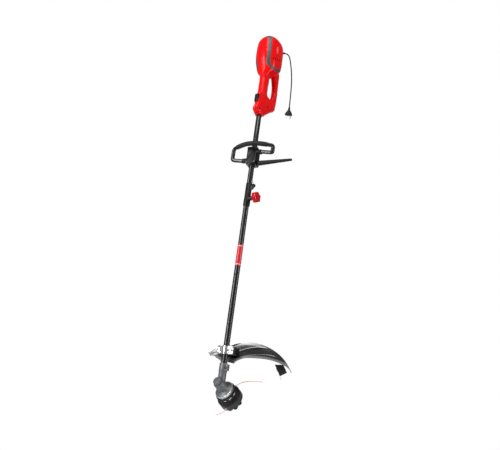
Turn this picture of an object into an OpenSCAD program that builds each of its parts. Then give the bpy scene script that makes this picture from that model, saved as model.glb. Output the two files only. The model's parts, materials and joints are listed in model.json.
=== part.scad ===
// Corded string trimmer: motor at the top of a two-piece straight shaft, loop handle,
// split-shaft coupler, deflector guard and a bump-feed line head on an angled gearbox.
// The shaft runs along Z with the motor up. Y points to the underside, X to the user's left.
// The origin is the centre of the harness eye on the coupler.

/* [Shaft] */
// Outer diameter of both shaft tubes
tube_d = 25; // [22:0.5:30]
// Wall of the shaft tubes
tube_wall = 1.5; // [1:0.1:2.5]
// Distance from the shaft axis to the centre of the harness eye
eye_reach = 26; // [24:0.5:40]
// Diameter of the hole in the harness eye
eye_hole_d = 9; // [6:0.5:12]
// Diameter of the drive shaft
drive_d = 8; // [6:0.5:10]
// Distance from the harness eye down to where shaft and spindle axes meet
head_drop = 873; // [700:10:1000]
// Distance from the harness eye up to the tube's end in the rear handle
tube_top = 436; // [400:2:445]

/* [Coupler] */
// Wall of the coupler's casting round the tube
coupler_wall = 2.1; // [1.8:0.1:5]
// Overlap of the inner spigot past the joint, which is how far the shafts slide
spigot_hold = 95; // [60:5:140]
// Diameter of the coupler's clamping knob
knob_d = 52; // [35:1:60]
// Number of lobes on the knob
knob_lobes = 6; // [4:1:8]

/* [Rear handle and motor] */
// Wall of the housing shells
shell_wall = 3; // [2:0.25:4]
// Half width of the motor housing
motor_half_w = 60; // [56:1:72]
// Half width of the rear grip
grip_half_w = 21; // [18:0.5:26]
// Diameter of the motor's stator pack
stator_d = 84; // [70:1:90]
// Diameter of the armature
armature_d = 47; // [36:1:52]
// Width of the dark band round the motor cover
band_w = 12; // [8:0.5:16]

/* [Loop handle] */
// Height of the handle's clamp above the harness eye
loop_z = 153; // [140:1:220]
// Half width of the loop, centre to centre
loop_half_w = 100; // [80:1:130]
// Rise of the loop's grip above its lower bars
loop_rise = 54; // [48:1:90]
// Forward bow of the grip at its middle
loop_bow = 37; // [15:1:50]
// Diameter of the loop's bar
loop_bar_d = 19; // [14:0.5:22]
// Turn of the loop handle about the shaft as stored
loop_turn = 15; // [0:1:20]
// Reach of the barrier arm from the shaft axis
barrier_reach = 194; // [120:2:230]

/* [Gearbox and head] */
// Angle between the shaft and the spindle
head_angle = 60; // [55:1:65]
// Diameter of the gearbox's output flange
flange_d = 76; // [66:1:84]
// Diameter of the line head
head_d = 98; // [88:1:120]
// Height of the line head's housing
head_h = 37; // [34:1:60]
// Travel of the bump knob
bump_travel = 4; // [2:0.5:6]
// Diameter of the nylon line
line_d = 2.4; // [1.6:0.1:3]
// Teeth on the bevel pinion
pinion_teeth = 11; // [9:1:13]
// Teeth on the bevel gear
gear_teeth = 14; // [13:1:18]

/* [Guard] */
// Radius of the guard's rim about the spindle
guard_r = 276; // [240:2:300]
// Turn of the guard about the shaft
guard_turn = 12; // [0:1:14]
// Wall of the guard
guard_wall = 3; // [2:0.25:4]
// Depth of the guard's skirt
skirt_h = 36; // [25:1:60]
// Distance along the shaft from the gearbox centre to the guard's clamp
guard_s = 138; // [120:1:170]
// Bolt spacing of the guard's clamp
guard_bolt_gap = 52; // [44:1:64]

/* [Hidden] */
$fn = 64;
// Gap between pieces that turn or slide past each other, and between pieces of one body
gap = 0.4;
close = 0.15;
far = 400;

tube_r = tube_d / 2;
tube_in = tube_r - tube_wall;
drive_r = drive_d / 2;
// The split between the tubes and the ends of the coupler
joint_z = -66;
coupler_top = 14;
coupler_bottom = -96;
knob_z = -62;
// Rear housing
// Middle line of the band, seen from the side: down the top face, round a corner, then under the motor
cover_line = [[-38, 900], [-38, 800], [-37, 740], [-34, 702], [-30, 680], [-24, 665], [-14, 655], [0, 651],
    [16, 652], [36, 658], [66, 677], [90, 699], [150, 757], [150, 900]];
// Sections of the motor housing and grip: height, centre in Y, half width, half depth, squareness
body_sections = [
    [384, 0, tube_r + 5.5, tube_r + 7, 2], [392, -3, tube_r + 6.5, 31, 2.1], [402, -5, tube_r + 7.5, 40, 2.2],
    [416, 3, grip_half_w, 46, 2.4], [432, 14, grip_half_w, 50, 2.6], [452, 24, grip_half_w, 60, 2.8],
    [476, 36, grip_half_w, 70, 2.8], [492, 30, grip_half_w, 64, 2.6], [505, 4, grip_half_w, 30, 2.4],
    [520, 2, grip_half_w, 25, 2.3], [596, 2, grip_half_w, 25, 2.3],
    [620, 4, grip_half_w + 4, 29, 2.3], [638, 12, motor_half_w - 20, 40, 2.4],
    [655, 19, motor_half_w - 10, 51, 2.4], [678, 21, motor_half_w - 4, 61, 2.4],
    [705, 20, motor_half_w - 1, 68, 2.4], [740, 18, motor_half_w, 70, 2.4],
    [780, 18, motor_half_w, 70, 2.4], [808, 18, motor_half_w - 3, 68, 2.4],
    [828, 17, motor_half_w - 10, 60, 2.4], [842, 15, motor_half_w - 22, 46, 2.3],
    [849, 13, motor_half_w - 42, 24, 2.1]];
// Front bar of the rear handle, from the motor's underside to the lower block
bar_path = [[0, 62, 694], [0, 78, 691], [0, 84, 676], [0, 85, 656], [0, 89, 634], [0, 93, 606], [0, 94.5, 575],
    [0, 94, 545], [0, 90, 520], [0, 84, 498], [0, 76, 479], [0, 60, 464]];
bar_half_w = 16;
bar_half_d = [22, 24, 26, 25, 20.5, 15.5, 13.8, 15, 19.5, 25, 28, 26];
// Places of the housing screws: Y and Z
screw_spots = [[-25, 404], [34, 447], [93, 540], [16, 520], [-13, 604]];
slot_heights = [748, 700, 688, 652];
motor_z = 737;
stator_h = 62;
commutator_z = 782;
fan_z = 674;
trigger_z = 632;
trigger_y = 15;
trigger_len = 62;
trigger_w = 14;
button_z = 465;
button_w = 20;
button_h = 42;
// Mains lead: leaves the cover's side and hangs beside the shaft
cord_d = 6;
boot_dir = [0.591, 0.788, 0.174];
boot_len = 20;
cord_dir = [0.6, 0.8, 0];
cord_side = [-14.4, 10.8, 0];
// Route of the lead in its own upright plane: distance out from the shaft axis, height
cord_route = [[96, 806], [101, 806.4], [106, 805.7], [110.7, 803.9], [115, 801.2], [118.6, 797.6], [121, 794.1],
    [122.6, 790.8], [123.8, 787], [127.4, 774], [132.8, 752], [138, 727], [142.5, 702], [146, 675], [148.8, 645],
    [150.6, 615], [151.6, 585], [152.2, 555], [152.5, 525], [152.8, 505], [153, 487]];
cord_points = [for (p = cord_route) [p[0] * cord_dir[0], p[0] * cord_dir[1], p[1]] + cord_side];
boot_at = cord_points[0] - boot_len * boot_dir / norm(boot_dir);

// Points of a closed cross-section with rounded sides
function section(s, wall, n) =
    [for (i = [0 : n - 1]) let (t = 360 * i / n, c = cos(t), d = sin(t), e = 2 / s[4])
        [sign(c) * pow(abs(c), e) * (s[2] - wall), s[1] + sign(d) * pow(abs(d), e) * (s[3] - wall), s[0]]];

// Joins rings of n points into one closed solid
module skin(rings, n) {
    m = len(rings) / n;
    sides = [for (j = [0 : m - 2], i = [0 : n - 1])
        let (p = j * n + i, q = j * n + (i + 1) % n) each [[p, q, q + n], [p, q + n, p + n]]];
    ends = [[for (i = [n - 1 : -1 : 0]) i], [for (i = [0 : n - 1]) (m - 1) * n + i]];
    polyhedron(rings, [for (f = concat(sides, ends)) [for (k = [len(f) - 1 : -1 : 0]) f[k]]], convexity = 6);
}

// Upright solid through a list of sections, taken in by a wall
module loft(sections, wall = 0, n = 28) {
    last = len(sections) - 1;
    skin([for (j = [0 : last])
        let (s = sections[j], dz = (j == 0 ? wall : j == last ? -wall : 0))
        each section([s[0] + dz, s[1], s[2], s[3], s[4]], wall, n)], n);
}

function unit(v) = v / norm(v);
function tangent(p, i) = unit(p[min(i + 1, len(p) - 1)] - p[max(i - 1, 0)]);
// Ring of n points round each path point, half width ra along the side vector and rb across it
function sweep_rings(p, side, ra, rb, n) = [for (i = [0 : len(p) - 1])
    let (t = tangent(p, i), e = unit(side - (side * t) * t), f = cross(t, e))
    for (k = [0 : n - 1])
        p[i] + e * (is_list(ra) ? ra[i] : ra) * cos(360 * k / n) + f * (is_list(rb) ? rb[i] : rb) * sin(360 * k / n)];

module sweep(p, side, ra, rb, n = 12) {
    skin(sweep_rings(p, side, ra, rb, n), n);
}

// Corner of a path rounded by a quarter arc of k steps, from a to c past the corner b
function corner(a, b, c, r, k = 5) =
    let (u = unit(a - b), v = unit(c - b))
    [for (i = [0 : k]) let (t = i / k, p = b + u * r * (1 - t) * (1 - t) + v * r * t * t) p];

// Puts children in the shaft's frame, the spindle's frame or the loop handle's frame
module on_shaft() { translate([-eye_reach, 0, 0]) children(); }
module on_spindle() { on_shaft() translate([0, 0, -head_drop]) rotate([head_angle, 0, 0]) children(); }
module on_loop() { on_shaft() translate([0, 0, loop_z]) rotate([0, 0, loop_turn]) children(); }

module ring(r_out, r_in, h) {
    difference() {
        cylinder(h = h, r = r_out);
        translate([0, 0, -1]) cylinder(h = h + 2, r = r_in);
    }
}

module along_x() { rotate([0, 90, 0]) children(); }

// ---- Rear housing ----

module housing_outside(wall = 0) {
    loft(body_sections, wall);
    sweep(bar_path, [1, 0, 0], bar_half_w - wall, [for (d = bar_half_d) d - wall], 20);
}

// Everything behind the band's middle line, moved in by an inset
module cover_zone(inset = 0) {
    rotate([90, 0, 90]) translate([0, 0, -100]) linear_extrude(height = 200)
        offset(delta = -inset) polygon(cover_line);
}

module screw_holes(r, from, to) {
    for (p = screw_spots) translate([from, p[0], p[1]]) along_x() cylinder(h = to - from, r = r, $fn = 24);
}

module shell_solid() {
    difference() {
        union() {
            difference() {
                housing_outside();
                housing_outside(shell_wall);
            }
            intersection() {
                housing_outside(1);
                union() {
                    screw_holes(5, -40, 40);
                    translate([0, 0, 380]) cylinder(h = tube_top - 380, r = tube_r + 4.5);
                    // Bosses for the trigger's pin
                    translate([-40, trigger_y, trigger_z]) along_x() cylinder(h = 80, r = 5, $fn = 32);
                }
            }
        }
        cover_zone(-band_w / 2);
        // Air slots in the top face
        for (side = [-1, 1], z = slot_heights) translate([side * 27 - 3, -90, z]) cube([6, 60, 5]);
        translate([0, 0, 370]) cylinder(h = tube_top - 370, r = tube_r + close);
        translate([0, 0, 400]) cylinder(h = 300, r = drive_r + 2.5);
        // Slot for the trigger, bore for its pin and window for the lock button
        translate([-trigger_w / 2 - gap, trigger_y - 8, trigger_z - trigger_len - 4])
            cube([trigger_w + 2 * gap, 40, trigger_len + 12]);
        translate([-14, trigger_y, trigger_z]) along_x() cylinder(h = 28, r = 2.05, $fn = 32);
        translate([-button_w / 2 - gap, -60, button_z - button_h / 2 - gap])
            cube([button_w + 2 * gap, 48, button_h + 2 * gap]);
        screw_holes(2.1, -12, 60);
        for (p = screw_spots) translate([13, p[0], p[1]]) along_x() cylinder(h = 40, r = 4.2, $fn = 32);
    }
}

module shell_half(sign) {
    intersection() {
        shell_solid();
        translate([sign > 0 ? 0.05 : -far - 0.05, -far / 2, 300]) cube([far, far, 700]);
    }
}

module shell_left() { color("red") on_shaft() shell_half(1); }
module shell_right() { color("red") on_shaft() shell_half(-1); }

module motor_cover() {
    color("red") on_shaft() difference() {
        intersection() {
            difference() {
                loft(body_sections);
                loft(body_sections, shell_wall);
            }
            cover_zone(band_w / 2);
        }
        for (k = [0 : 3]) {
            translate([-80, -10 + 14 * k, 800]) cube([160, 5, 11]);
            translate([-80, -16 + 14 * k, 690 + 5 * k]) cube([160, 5, 11]);
        }
        translate(boot_at - 25 * unit(boot_dir)) boot_turn() cylinder(h = 60, r = 7.2, $fn = 32);
    }
}

module cover_badges() {
    color("red") on_shaft() for (side = [-1, 1]) intersection() {
        difference() {
            loft([for (s = body_sections) [s[0], s[1], s[2] + 1.6, s[3] + 1.6, s[4]]]);
            loft([for (s = body_sections) [s[0], s[1], s[2] + close, s[3] + close, s[4]]]);
        }
        translate([side * 30, 4, 757]) rotate([0, side * 90, 0]) linear_extrude(height = 60)
            resize([46, 13]) circle(r = 10, $fn = 32);
    }
}

module cover_band() {
    color([0.2, 0.21, 0.22]) on_shaft() intersection() {
        difference() {
            loft([for (s = body_sections) [s[0], s[1], s[2] + 0.8, s[3] + 0.8, s[4]]]);
            loft([for (s = body_sections) [s[0], s[1], s[2] - shell_wall + 0.5, s[3] - shell_wall + 0.5, s[4]]]);
        }
        difference() {
            cover_zone(-band_w / 2 + close);
            cover_zone(band_w / 2 - close);
        }
        translate([-100, -100, 600]) cube([200, 300, 300]);
    }
}

// ---- Motor ----

module stator() {
    color([0.45, 0.45, 0.47]) on_shaft() translate([0, 0, motor_z - stator_h / 2]) {
        difference() {
            cylinder(h = stator_h, r = stator_d / 2);
            translate([0, 0, -1]) cylinder(h = stator_h + 2, r = armature_d / 2 + 1);
            for (a = [0, 180]) rotate(a) for (x = [-1, 1])
                translate([stator_d / 2 - 12, x * 20 - 4, -1]) cube([9, 8, stator_h + 2]);
        }
    }
    color([0.7, 0.4, 0.15]) on_shaft() translate([0, 0, motor_z - stator_h / 2])
        for (a = [0, 180]) rotate(a) for (x = [-1, 1], z = [-6, stator_h])
            translate([stator_d / 2 - 12, x * 20 - 4, z]) cube([9, 8, 6]);
}

module bearing_plate() {
    color([0.15, 0.15, 0.16]) on_shaft() {
        for (z = [650, 806]) difference() {
            translate([0, 0, z]) cylinder(h = 12, r = z < 700 ? 26 : 30);
            translate([0, 0, z - 1]) cylinder(h = 20, r = 11 + close);
        }
    }
}

module motor_bearings() {
    color("silver") on_shaft() for (z = [652.5, 808.5]) translate([0, 0, z]) ring(11, drive_r + 0.05, 7);
}

module brush_holders() {
    color([0.72, 0.58, 0.25]) on_shaft() for (s = [-1, 1])
        translate([s > 0 ? 21 : -40, -6, commutator_z - 7]) difference() {
            cube([19, 12, 14]);
            translate([-1, 2.5, 3]) cube([21, 7, 8]);
        }
}

module carbon_brushes() {
    color([0.12, 0.12, 0.13]) on_shaft() for (s = [-1, 1])
        translate([s > 0 ? 14.5 : -34.5, -3.2, commutator_z - 3.7]) cube([20, 6.4, 7.4]);
}

module drive_shaft_upper() {
    color("silver") on_shaft() translate([0, 0, -18]) cylinder(h = 842, r = drive_r);
}

module armature() {
    color([0.5, 0.42, 0.35]) on_shaft() translate([0, 0, motor_z - stator_h / 2]) difference() {
        cylinder(h = stator_h, r = armature_d / 2);
        translate([0, 0, -1]) cylinder(h = stator_h + 2, r = drive_r + 0.02);
        for (k = [0 : 11]) rotate(30 * k) translate([armature_d / 2 - 4, -1, -1])
            cube([6, 2, stator_h + 2]);
    }
}

module commutator() {
    color([0.75, 0.45, 0.2]) on_shaft() translate([0, 0, commutator_z - 11]) difference() {
        cylinder(h = 22, r = 14);
        translate([0, 0, -1]) cylinder(h = 24, r = drive_r + 0.02);
        for (k = [0 : 23]) rotate(15 * k) translate([12.5, -0.3, -1]) cube([3, 0.6, 24]);
    }
}

module fan() {
    color([0.16, 0.16, 0.17]) on_shaft() translate([0, 0, fan_z]) difference() {
        union() {
            cylinder(h = 2.5, r = 32);
            cylinder(h = 14, r = 10);
            for (k = [0 : 11]) rotate(30 * k) translate([8, -1, 1]) rotate(12) cube([21, 2, 12]);
        }
        translate([0, 0, -1]) cylinder(h = 20, r = drive_r + 0.02);
    }
}

module shaft_socket() {
    color([0.5, 0.5, 0.52]) on_shaft() translate([0, 0, -48]) difference() {
        cylinder(h = 46, r = drive_r + 2.6);
        translate([0, 0, 30]) cylinder(h = 20, r = drive_r + 0.02);
        translate([0, 0, -1]) linear_extrude(height = 31) square(drive_d * 0.72 + 0.3, center = true);
    }
}

module upper_tube() {
    color([0.08, 0.08, 0.08]) on_shaft() difference() {
        translate([0, 0, joint_z]) cylinder(h = tube_top - joint_z - 1, r = tube_r);
        translate([0, 0, joint_z - 1]) cylinder(h = tube_top + 200, r = tube_in);
        translate([0, 0, 22]) along_x() cylinder(h = 40, r = 4.3, $fn = 40);
    }
}

module bushing() { ring(tube_in - close, drive_r + 0.06, 24); }

module upper_bushings() {
    color([0.85, 0.83, 0.75]) on_shaft() for (z = [70, 180, 290, 400]) translate([0, 0, z]) bushing();
}

// ---- Controls ----

module switch_module() {
    color([0.1, 0.1, 0.1]) on_shaft() {
        translate([-8, drive_r + 5, trigger_z - 74]) cube([16, 13 - drive_r, 24 - 14]);
        translate([-8, -18, trigger_z - 74]) cube([16, 12 - drive_r + 1, 40]);
    }
}

module trigger_pin() {
    color("silver") on_shaft() translate([-13.5, trigger_y, trigger_z]) along_x() cylinder(h = 27, r = 2, $fn = 32);
}

module trigger() {
    color([0.06, 0.06, 0.06]) on_shaft() difference() {
        rotate([90, 0, 90]) translate([0, 0, -trigger_w / 2]) linear_extrude(height = trigger_w)
            polygon([[trigger_y - 5, trigger_z + 4], [trigger_y + 8, trigger_z + 5], [26, trigger_z - 4],
                [31, trigger_z - 14], [33, trigger_z - 28], [32.5, trigger_z - 46],
                [29.5, trigger_z - trigger_len], [22, trigger_z - trigger_len],
                [18, trigger_z - 30], [trigger_y - 5, trigger_z - 8]]);
        translate([-20, trigger_y, trigger_z]) along_x() cylinder(h = 40, r = 2.06, $fn = 32);
    }
}

module lock_button() {
    color([0.07, 0.07, 0.07]) on_shaft() translate([0, 0, button_z]) {
        translate([-button_w / 2, -39.5, -button_h / 2]) cube([button_w, 13, button_h]);
        for (k = [-2 : 2]) translate([-button_w / 2 + 2, -40.7, 7 * k - 1.5]) cube([button_w - 4, 2.4, 3]);
    }
}

module housing_screws() {
    color([0.3, 0.3, 0.32]) on_shaft() for (p = screw_spots) translate([0, p[0], p[1]]) along_x() {
        translate([0, 0, -10]) cylinder(h = 23.5, r = 1.9, $fn = 24);
        difference() {
            translate([0, 0, 13.2]) cylinder(h = 3, r = 3.8, $fn = 32);
            translate([-2.6, -0.5, 14.4]) cube([5.2, 1, 3]);
            translate([-0.5, -2.6, 14.4]) cube([1, 5.2, 3]);
        }
    }
}

// ---- Mains lead ----

module boot_turn() {
    d = unit(boot_dir);
    rotate([0, acos(d[2]), atan2(d[1], d[0])]) children();
}

module cord_boot() {
    color([0.05, 0.05, 0.05]) on_shaft() translate(boot_at) boot_turn() {
        translate([0, 0, -14]) cylinder(h = 14, r = 7);
        cylinder(h = boot_len, r1 = 7, r2 = cord_d / 2 + 1.1);
        for (k = [0 : 2]) translate([0, 0, 3 + 6 * k]) cylinder(h = 2.6, r = 7.2 - 0.75 * k);
    }
}

module cord() {
    color([0.06, 0.06, 0.06]) on_shaft()
        sweep(cord_points, [-cord_dir[1], cord_dir[0], 0], cord_d / 2, cord_d / 2, 10);
}

module plug_place() {
    translate(cord_points[len(cord_points) - 1]) rotate([0, 0, 40.8]) rotate([180, 0, 0]) children();
}

module plug_body() {
    color([0.05, 0.05, 0.05]) on_shaft() plug_place() {
        cylinder(h = 12, r = 5.2);
        translate([0, 0, 12]) hull() {
            cylinder(h = 1, r = 5.2, $fn = 32);
            for (s = [-1, 1]) translate([12 * s, 0, 22]) cylinder(h = 10, r = 6.8, $fn = 32);
        }
    }
}

module plug_pins() {
    color("silver") on_shaft() plug_place() for (s = [-1, 1]) translate([9.5 * s, 0, 44]) {
        cylinder(h = 17, r = 2.4, $fn = 32);
        translate([0, 0, 17]) sphere(r = 2.4, $fn = 32);
    }
}

// ---- Coupler ----

module coupler_body() {
    r = tube_r + coupler_wall;
    color([0.09, 0.09, 0.09]) on_shaft() difference() {
        union() {
            translate([0, 0, joint_z - 4]) cylinder(h = coupler_top - joint_z + 4, r = r);
            translate([0, 0, coupler_bottom]) cylinder(h = joint_z - coupler_bottom, r = r + 0.8);
            // Boss for the clamping knob
            translate([0, 0, knob_z]) along_x() cylinder(h = tube_r + 20, r = 10.5);
            // Harness ear
            translate([eye_reach, 4, 0]) rotate([90, 0, 0]) cylinder(h = 8, r = eye_hole_d / 2 + 5);
            translate([tube_r, -4, -eye_hole_d - 8]) cube([eye_reach - tube_r, 8, 2 * eye_hole_d + 6]);
        }
        translate([0, 0, joint_z]) cylinder(h = 200, r = tube_r + close);
        translate([0, 0, coupler_bottom - 1]) cylinder(h = joint_z - coupler_bottom + 2, r = tube_r + gap);
        translate([eye_reach, 20, 0]) rotate([90, 0, 0]) cylinder(h = 40, r = eye_hole_d / 2);
        translate([0, 0, knob_z]) along_x() cylinder(h = 80, r = 4.05);
        translate([-far, -1, coupler_bottom - 1]) cube([far, 2, 28]);
    }
}

module knob_screw() {
    color("silver") on_shaft() translate([tube_r + 1, 0, knob_z]) along_x() cylinder(h = 30, r = 4);
}

module coupler_knob() {
    color([0.8, 0.02, 0.05]) on_shaft() translate([tube_r + 23, 0, knob_z]) along_x() difference() {
        union() {
            cylinder(h = 5, r = 12);
            translate([0, 0, 4]) cylinder(h = 20, r = knob_d / 2 - 5);
            for (k = [0 : knob_lobes - 1]) rotate(360 * k / knob_lobes)
                translate([knob_d / 2 - 6.7, 0, 4.6]) cylinder(h = 18.8, r = 6.7);
            translate([0, 0, 24]) cylinder(h = 4, r1 = knob_d / 2 - 6, r2 = knob_d / 2 - 10);
        }
        translate([0, 0, -1]) cylinder(h = 10, r = 4.02);
    }
}

module release_pin() {
    color("silver") on_shaft() translate([0, 0, 22]) along_x() {
        translate([0, 0, tube_in + 0.3]) cylinder(h = tube_r - tube_in + 3.7, r = 3.9, $fn = 40);
        translate([0, 0, tube_r + 3.4]) cylinder(h = 2.8, r1 = 5.2, r2 = 4.4, $fn = 40);
    }
}

// ---- Loop handle ----

module handle_liner() {
    color([0.12, 0.12, 0.12]) on_shaft() translate([0, 0, loop_z - 50]) ring(tube_r + 2.4, tube_r + 0.08, 100);
}

liner_r = tube_r + 2.4;
clamp_half_w = 23;
// Heights of the loop's two ends on its clamp, left and right
end_low = -23;
end_high = 18;

module clamp_block(front) {
    difference() {
        translate([-clamp_half_w, front ? -liner_r - 8 : 0.5, -45])
            cube([2 * clamp_half_w, liner_r + 7.5, 90]);
        translate([0, 0, -60]) cylinder(h = 120, r = liner_r + gap);
        for (s = [-1, 1], z = [-36, 36]) translate([s * 18.8, 0, z]) rotate([90, 0, 0])
            cylinder(h = 100, r = 2.7, center = true, $fn = 32);
    }
}

module handle_clamp() {
    color([0.07, 0.07, 0.07]) on_loop() {
        clamp_block(true);
        // Sockets that hold the two ends of the loop
        for (e = [[-1, end_low], [1, end_high]]) translate([e[0] * clamp_half_w, -12, e[1]])
            rotate([0, e[0] * 90, 0]) difference() {
                cylinder(h = 22, r = loop_bar_d / 2 + 2.4);
                translate([0, 0, -1]) cylinder(h = 24, r = loop_bar_d / 2 + close);
            }
    }
}

module handle_clamp_cap() { color([0.07, 0.07, 0.07]) on_loop() clamp_block(false); }

module clamp_bolts() {
    color([0.6, 0.6, 0.62]) on_loop() for (s = [-1, 1], z = [-36, 36]) translate([s * 18.8, 0, z])
        rotate([90, 0, 0]) {
            translate([0, 0, -liner_r - 7]) cylinder(h = 2 * liner_r + 15.2, r = 2.5, $fn = 32);
            translate([0, 0, liner_r + 8.2]) cylinder(h = 4, r = 4.6, $fn = 6);
            translate([0, 0, -liner_r - 12.2]) cylinder(h = 4, r = 4.6, $fn = 6);
        }
}

// Centre line of the loop: left end, left side, bowed grip, right side, right end
function bow(x) = -12 - loop_bow * cos(90 * x / loop_half_w);
left_z = end_low + 9;
right_z = end_high - 9;
grip_z = loop_rise - 8;
loop_path = concat(
    [[-clamp_half_w - 1, -12, end_low], [-clamp_half_w - 24, -12, end_low]],
    corner([-60, -12, end_low + 2], [-loop_half_w, -12, left_z], [-loop_half_w, -12, 40], 12),
    corner([-loop_half_w, -12, 20], [-loop_half_w, -12, grip_z], [-70, bow(-70), grip_z], 16),
    [for (k = [-5 : 5]) [loop_half_w * 0.13 * k, bow(loop_half_w * 0.13 * k), grip_z]],
    corner([70, bow(70), grip_z], [loop_half_w, -12, grip_z], [loop_half_w, -12, 20], 12),
    corner([loop_half_w, -12, 40], [loop_half_w, -12, right_z], [60, -12, end_high - 2], 10),
    [[clamp_half_w + 24, -12, end_high], [clamp_half_w + 1, -12, end_high]]);

module loop_bar() {
    color([0.1, 0.1, 0.1]) on_loop() sweep(loop_path, [0, 1, 0.01], loop_bar_d / 2, loop_bar_d / 2, 14);
}

grip_path = [for (k = [-6 : 6]) [loop_half_w * 0.125 * k, bow(loop_half_w * 0.125 * k), grip_z]];

module loop_grip() {
    color([0.13, 0.13, 0.13]) on_loop() difference() {
        sweep(grip_path, [0, 1, 0], loop_bar_d / 2 + 2, loop_bar_d / 2 + 2, 20);
        sweep(loop_path, [0, 1, 0.01], loop_bar_d / 2 + 0.4, loop_bar_d / 2 + 0.4, 14);
    }
}

module barrier_arm() {
    color([0.08, 0.08, 0.08]) on_loop() translate([0, 4, -32]) hull() {
        translate([clamp_half_w, 0, 0]) along_x() cylinder(h = 1, r = 12.5, $fn = 32);
        translate([barrier_reach - 6, 0, 5]) sphere(r = 6, $fn = 32);
    }
}

// ---- Lower shaft ----

module lower_tube() {
    color([0.08, 0.08, 0.08]) on_shaft() translate([0, 0, -head_drop + 26])
        ring(tube_r, tube_in, head_drop - 26 + joint_z - 1);
}

module spigot() {
    color("silver") on_shaft() translate([0, 0, joint_z - spigot_hold])
        ring(tube_in - 0.08, tube_in - 1.8, spigot_hold + 78);
}

module lower_bushings() {
    color([0.85, 0.83, 0.75]) on_shaft() for (k = [0 : 4])
        translate([0, 0, -head_drop + 60 + k * 140]) bushing();
}

module shaft_label() {
    color([0.8, 0.05, 0.08]) on_shaft() translate([0, 0, -380]) ring(tube_r + 0.5, tube_r + 0.02, 96);
}

// ---- Gearbox, in the spindle's frame ----

case_r = 21;
case_in = 15.4;
cap_z = 20;
flange_z = -24;

module in_shaft_line(from) {
    rotate([-head_angle, 0, 0]) translate([0, 0, from]) children();
}

module gear_case() {
    color([0.45, 0.46, 0.47]) on_spindle() difference() {
        union() {
            translate([0, 0, flange_z]) cylinder(h = cap_z - flange_z, r = case_r);
            in_shaft_line(0) cylinder(h = 86, r = tube_r + 3.6);
            in_shaft_line(52) cylinder(h = 34, r = tube_r + 4.6);
            in_shaft_line(58) translate([tube_r, -5, 0]) cube([12, 13, 24]);
            translate([0, 0, flange_z]) cylinder(h = 6, r1 = flange_d / 2 - 2, r2 = case_r);
        }
        translate([0, 0, flange_z - 1]) cylinder(h = 80, r = case_in);
        in_shaft_line(0) cylinder(h = 120, r = tube_in - 0.5);
        in_shaft_line(25) cylinder(h = 100, r = tube_r + 0.05);
        in_shaft_line(50) translate([0, 0.5, 0]) cube([60, 2, 60]);
        in_shaft_line(70) translate([tube_r + 6, 30, 0]) rotate([90, 0, 0]) cylinder(h = 60, r = 2.7, $fn = 32);
        in_shaft_line(70) translate([tube_r + 6, -5, 0]) rotate([90, 0, 0]) cylinder(h = 12, r = 4.8, $fn = 32);
    }
}

module rear_cap() {
    color([0.5, 0.51, 0.52]) on_spindle() difference() {
        translate([0, 0, cap_z + 0.05]) union() {
            cylinder(h = 13, r = 17);
            translate([0, 0, 13]) cylinder(h = 2, r1 = 17, r2 = 15);
        }
        translate([0, 0, cap_z - 1]) cylinder(h = 12, r = 11);
        in_shaft_line(0) cylinder(h = 86, r = tube_r + 3.7);
    }
}

module case_screws() {
    color([0.25, 0.25, 0.26]) on_spindle() {
        in_shaft_line(70) translate([tube_r + 6, -5.2, 0]) rotate([90, 0, 0]) {
            translate([0, 0, -18]) cylinder(h = 18, r = 2.5, $fn = 32);
            cylinder(h = 4.5, r = 4.6, $fn = 6);
        }
        in_shaft_line(62) translate([-tube_r - 4.7, 0, 0]) rotate([0, -90, 0]) cylinder(h = 3, r = 3.4, $fn = 32);
    }
}

module output_flange() {
    color([0.7, 0.71, 0.72]) on_spindle() translate([0, 0, flange_z - 13.05]) difference() {
        cylinder(h = 13, r = flange_d / 2);
        translate([0, 0, -1]) cylinder(h = 11, r = flange_d / 2 - 3);
        translate([0, 0, 8]) cylinder(h = 10, r = case_in);
    }
}

module case_bearings() {
    color("silver") on_spindle() {
        for (z = [flange_z - 6, flange_z + 4]) translate([0, 0, z]) ring(case_in - close, 5.05, 7);
        in_shaft_line(27) ring(tube_in - close, drive_r + 0.05, 9);
    }
}

pinion_cone = atan(sin(180 - head_angle) / (gear_teeth / pinion_teeth + cos(180 - head_angle)));
gear_cone = 180 - head_angle - pinion_cone;
cone_out = 13;
cone_in = 7.5;

module drive_shaft_lower() {
    color("silver") on_shaft() translate([0, 0, -head_drop]) {
        translate([0, 0, cone_out * cos(pinion_cone) + 1]) cylinder(h = head_drop - 50 - 12, r = drive_r);
        translate([0, 0, head_drop - 56]) linear_extrude(height = 36)
            square(drive_d * 0.72, center = true);
    }
}

module bevel_pinion() {
    color([0.55, 0.55, 0.57]) on_shaft() translate([0, 0, -head_drop + 0.5]) {
        z0 = cone_in * cos(pinion_cone);
        z1 = cone_out * cos(pinion_cone);
        translate([0, 0, z0]) cylinder(h = z1 - z0, r1 = cone_in * sin(pinion_cone), r2 = cone_out * sin(pinion_cone));
        translate([0, 0, z1]) ring(drive_r + 2.4, drive_r + 0.02, 9);
    }
}

module spindle_gear() {
    color([0.55, 0.55, 0.57]) on_spindle() {
        z0 = cone_in * cos(gear_cone) + 0.5;
        z1 = cone_out * cos(gear_cone) + 0.5;
        translate([0, 0, -z1]) cylinder(h = z1 - z0, r2 = cone_in * sin(gear_cone), r1 = cone_out * sin(gear_cone));
        translate([0, 0, -z1 - 4]) cylinder(h = 4.6, r = 7);
        translate([0, 0, -z1 - 74]) cylinder(h = 72, r = 5);
    }
}

// ---- Line head ----

ring_top = -39;
ring_h = 17;
head_top = ring_top - ring_h;
head_bottom = head_top - head_h;
head_r = head_d / 2;
knob_r = 31;
line_z = head_top - 25;

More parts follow.
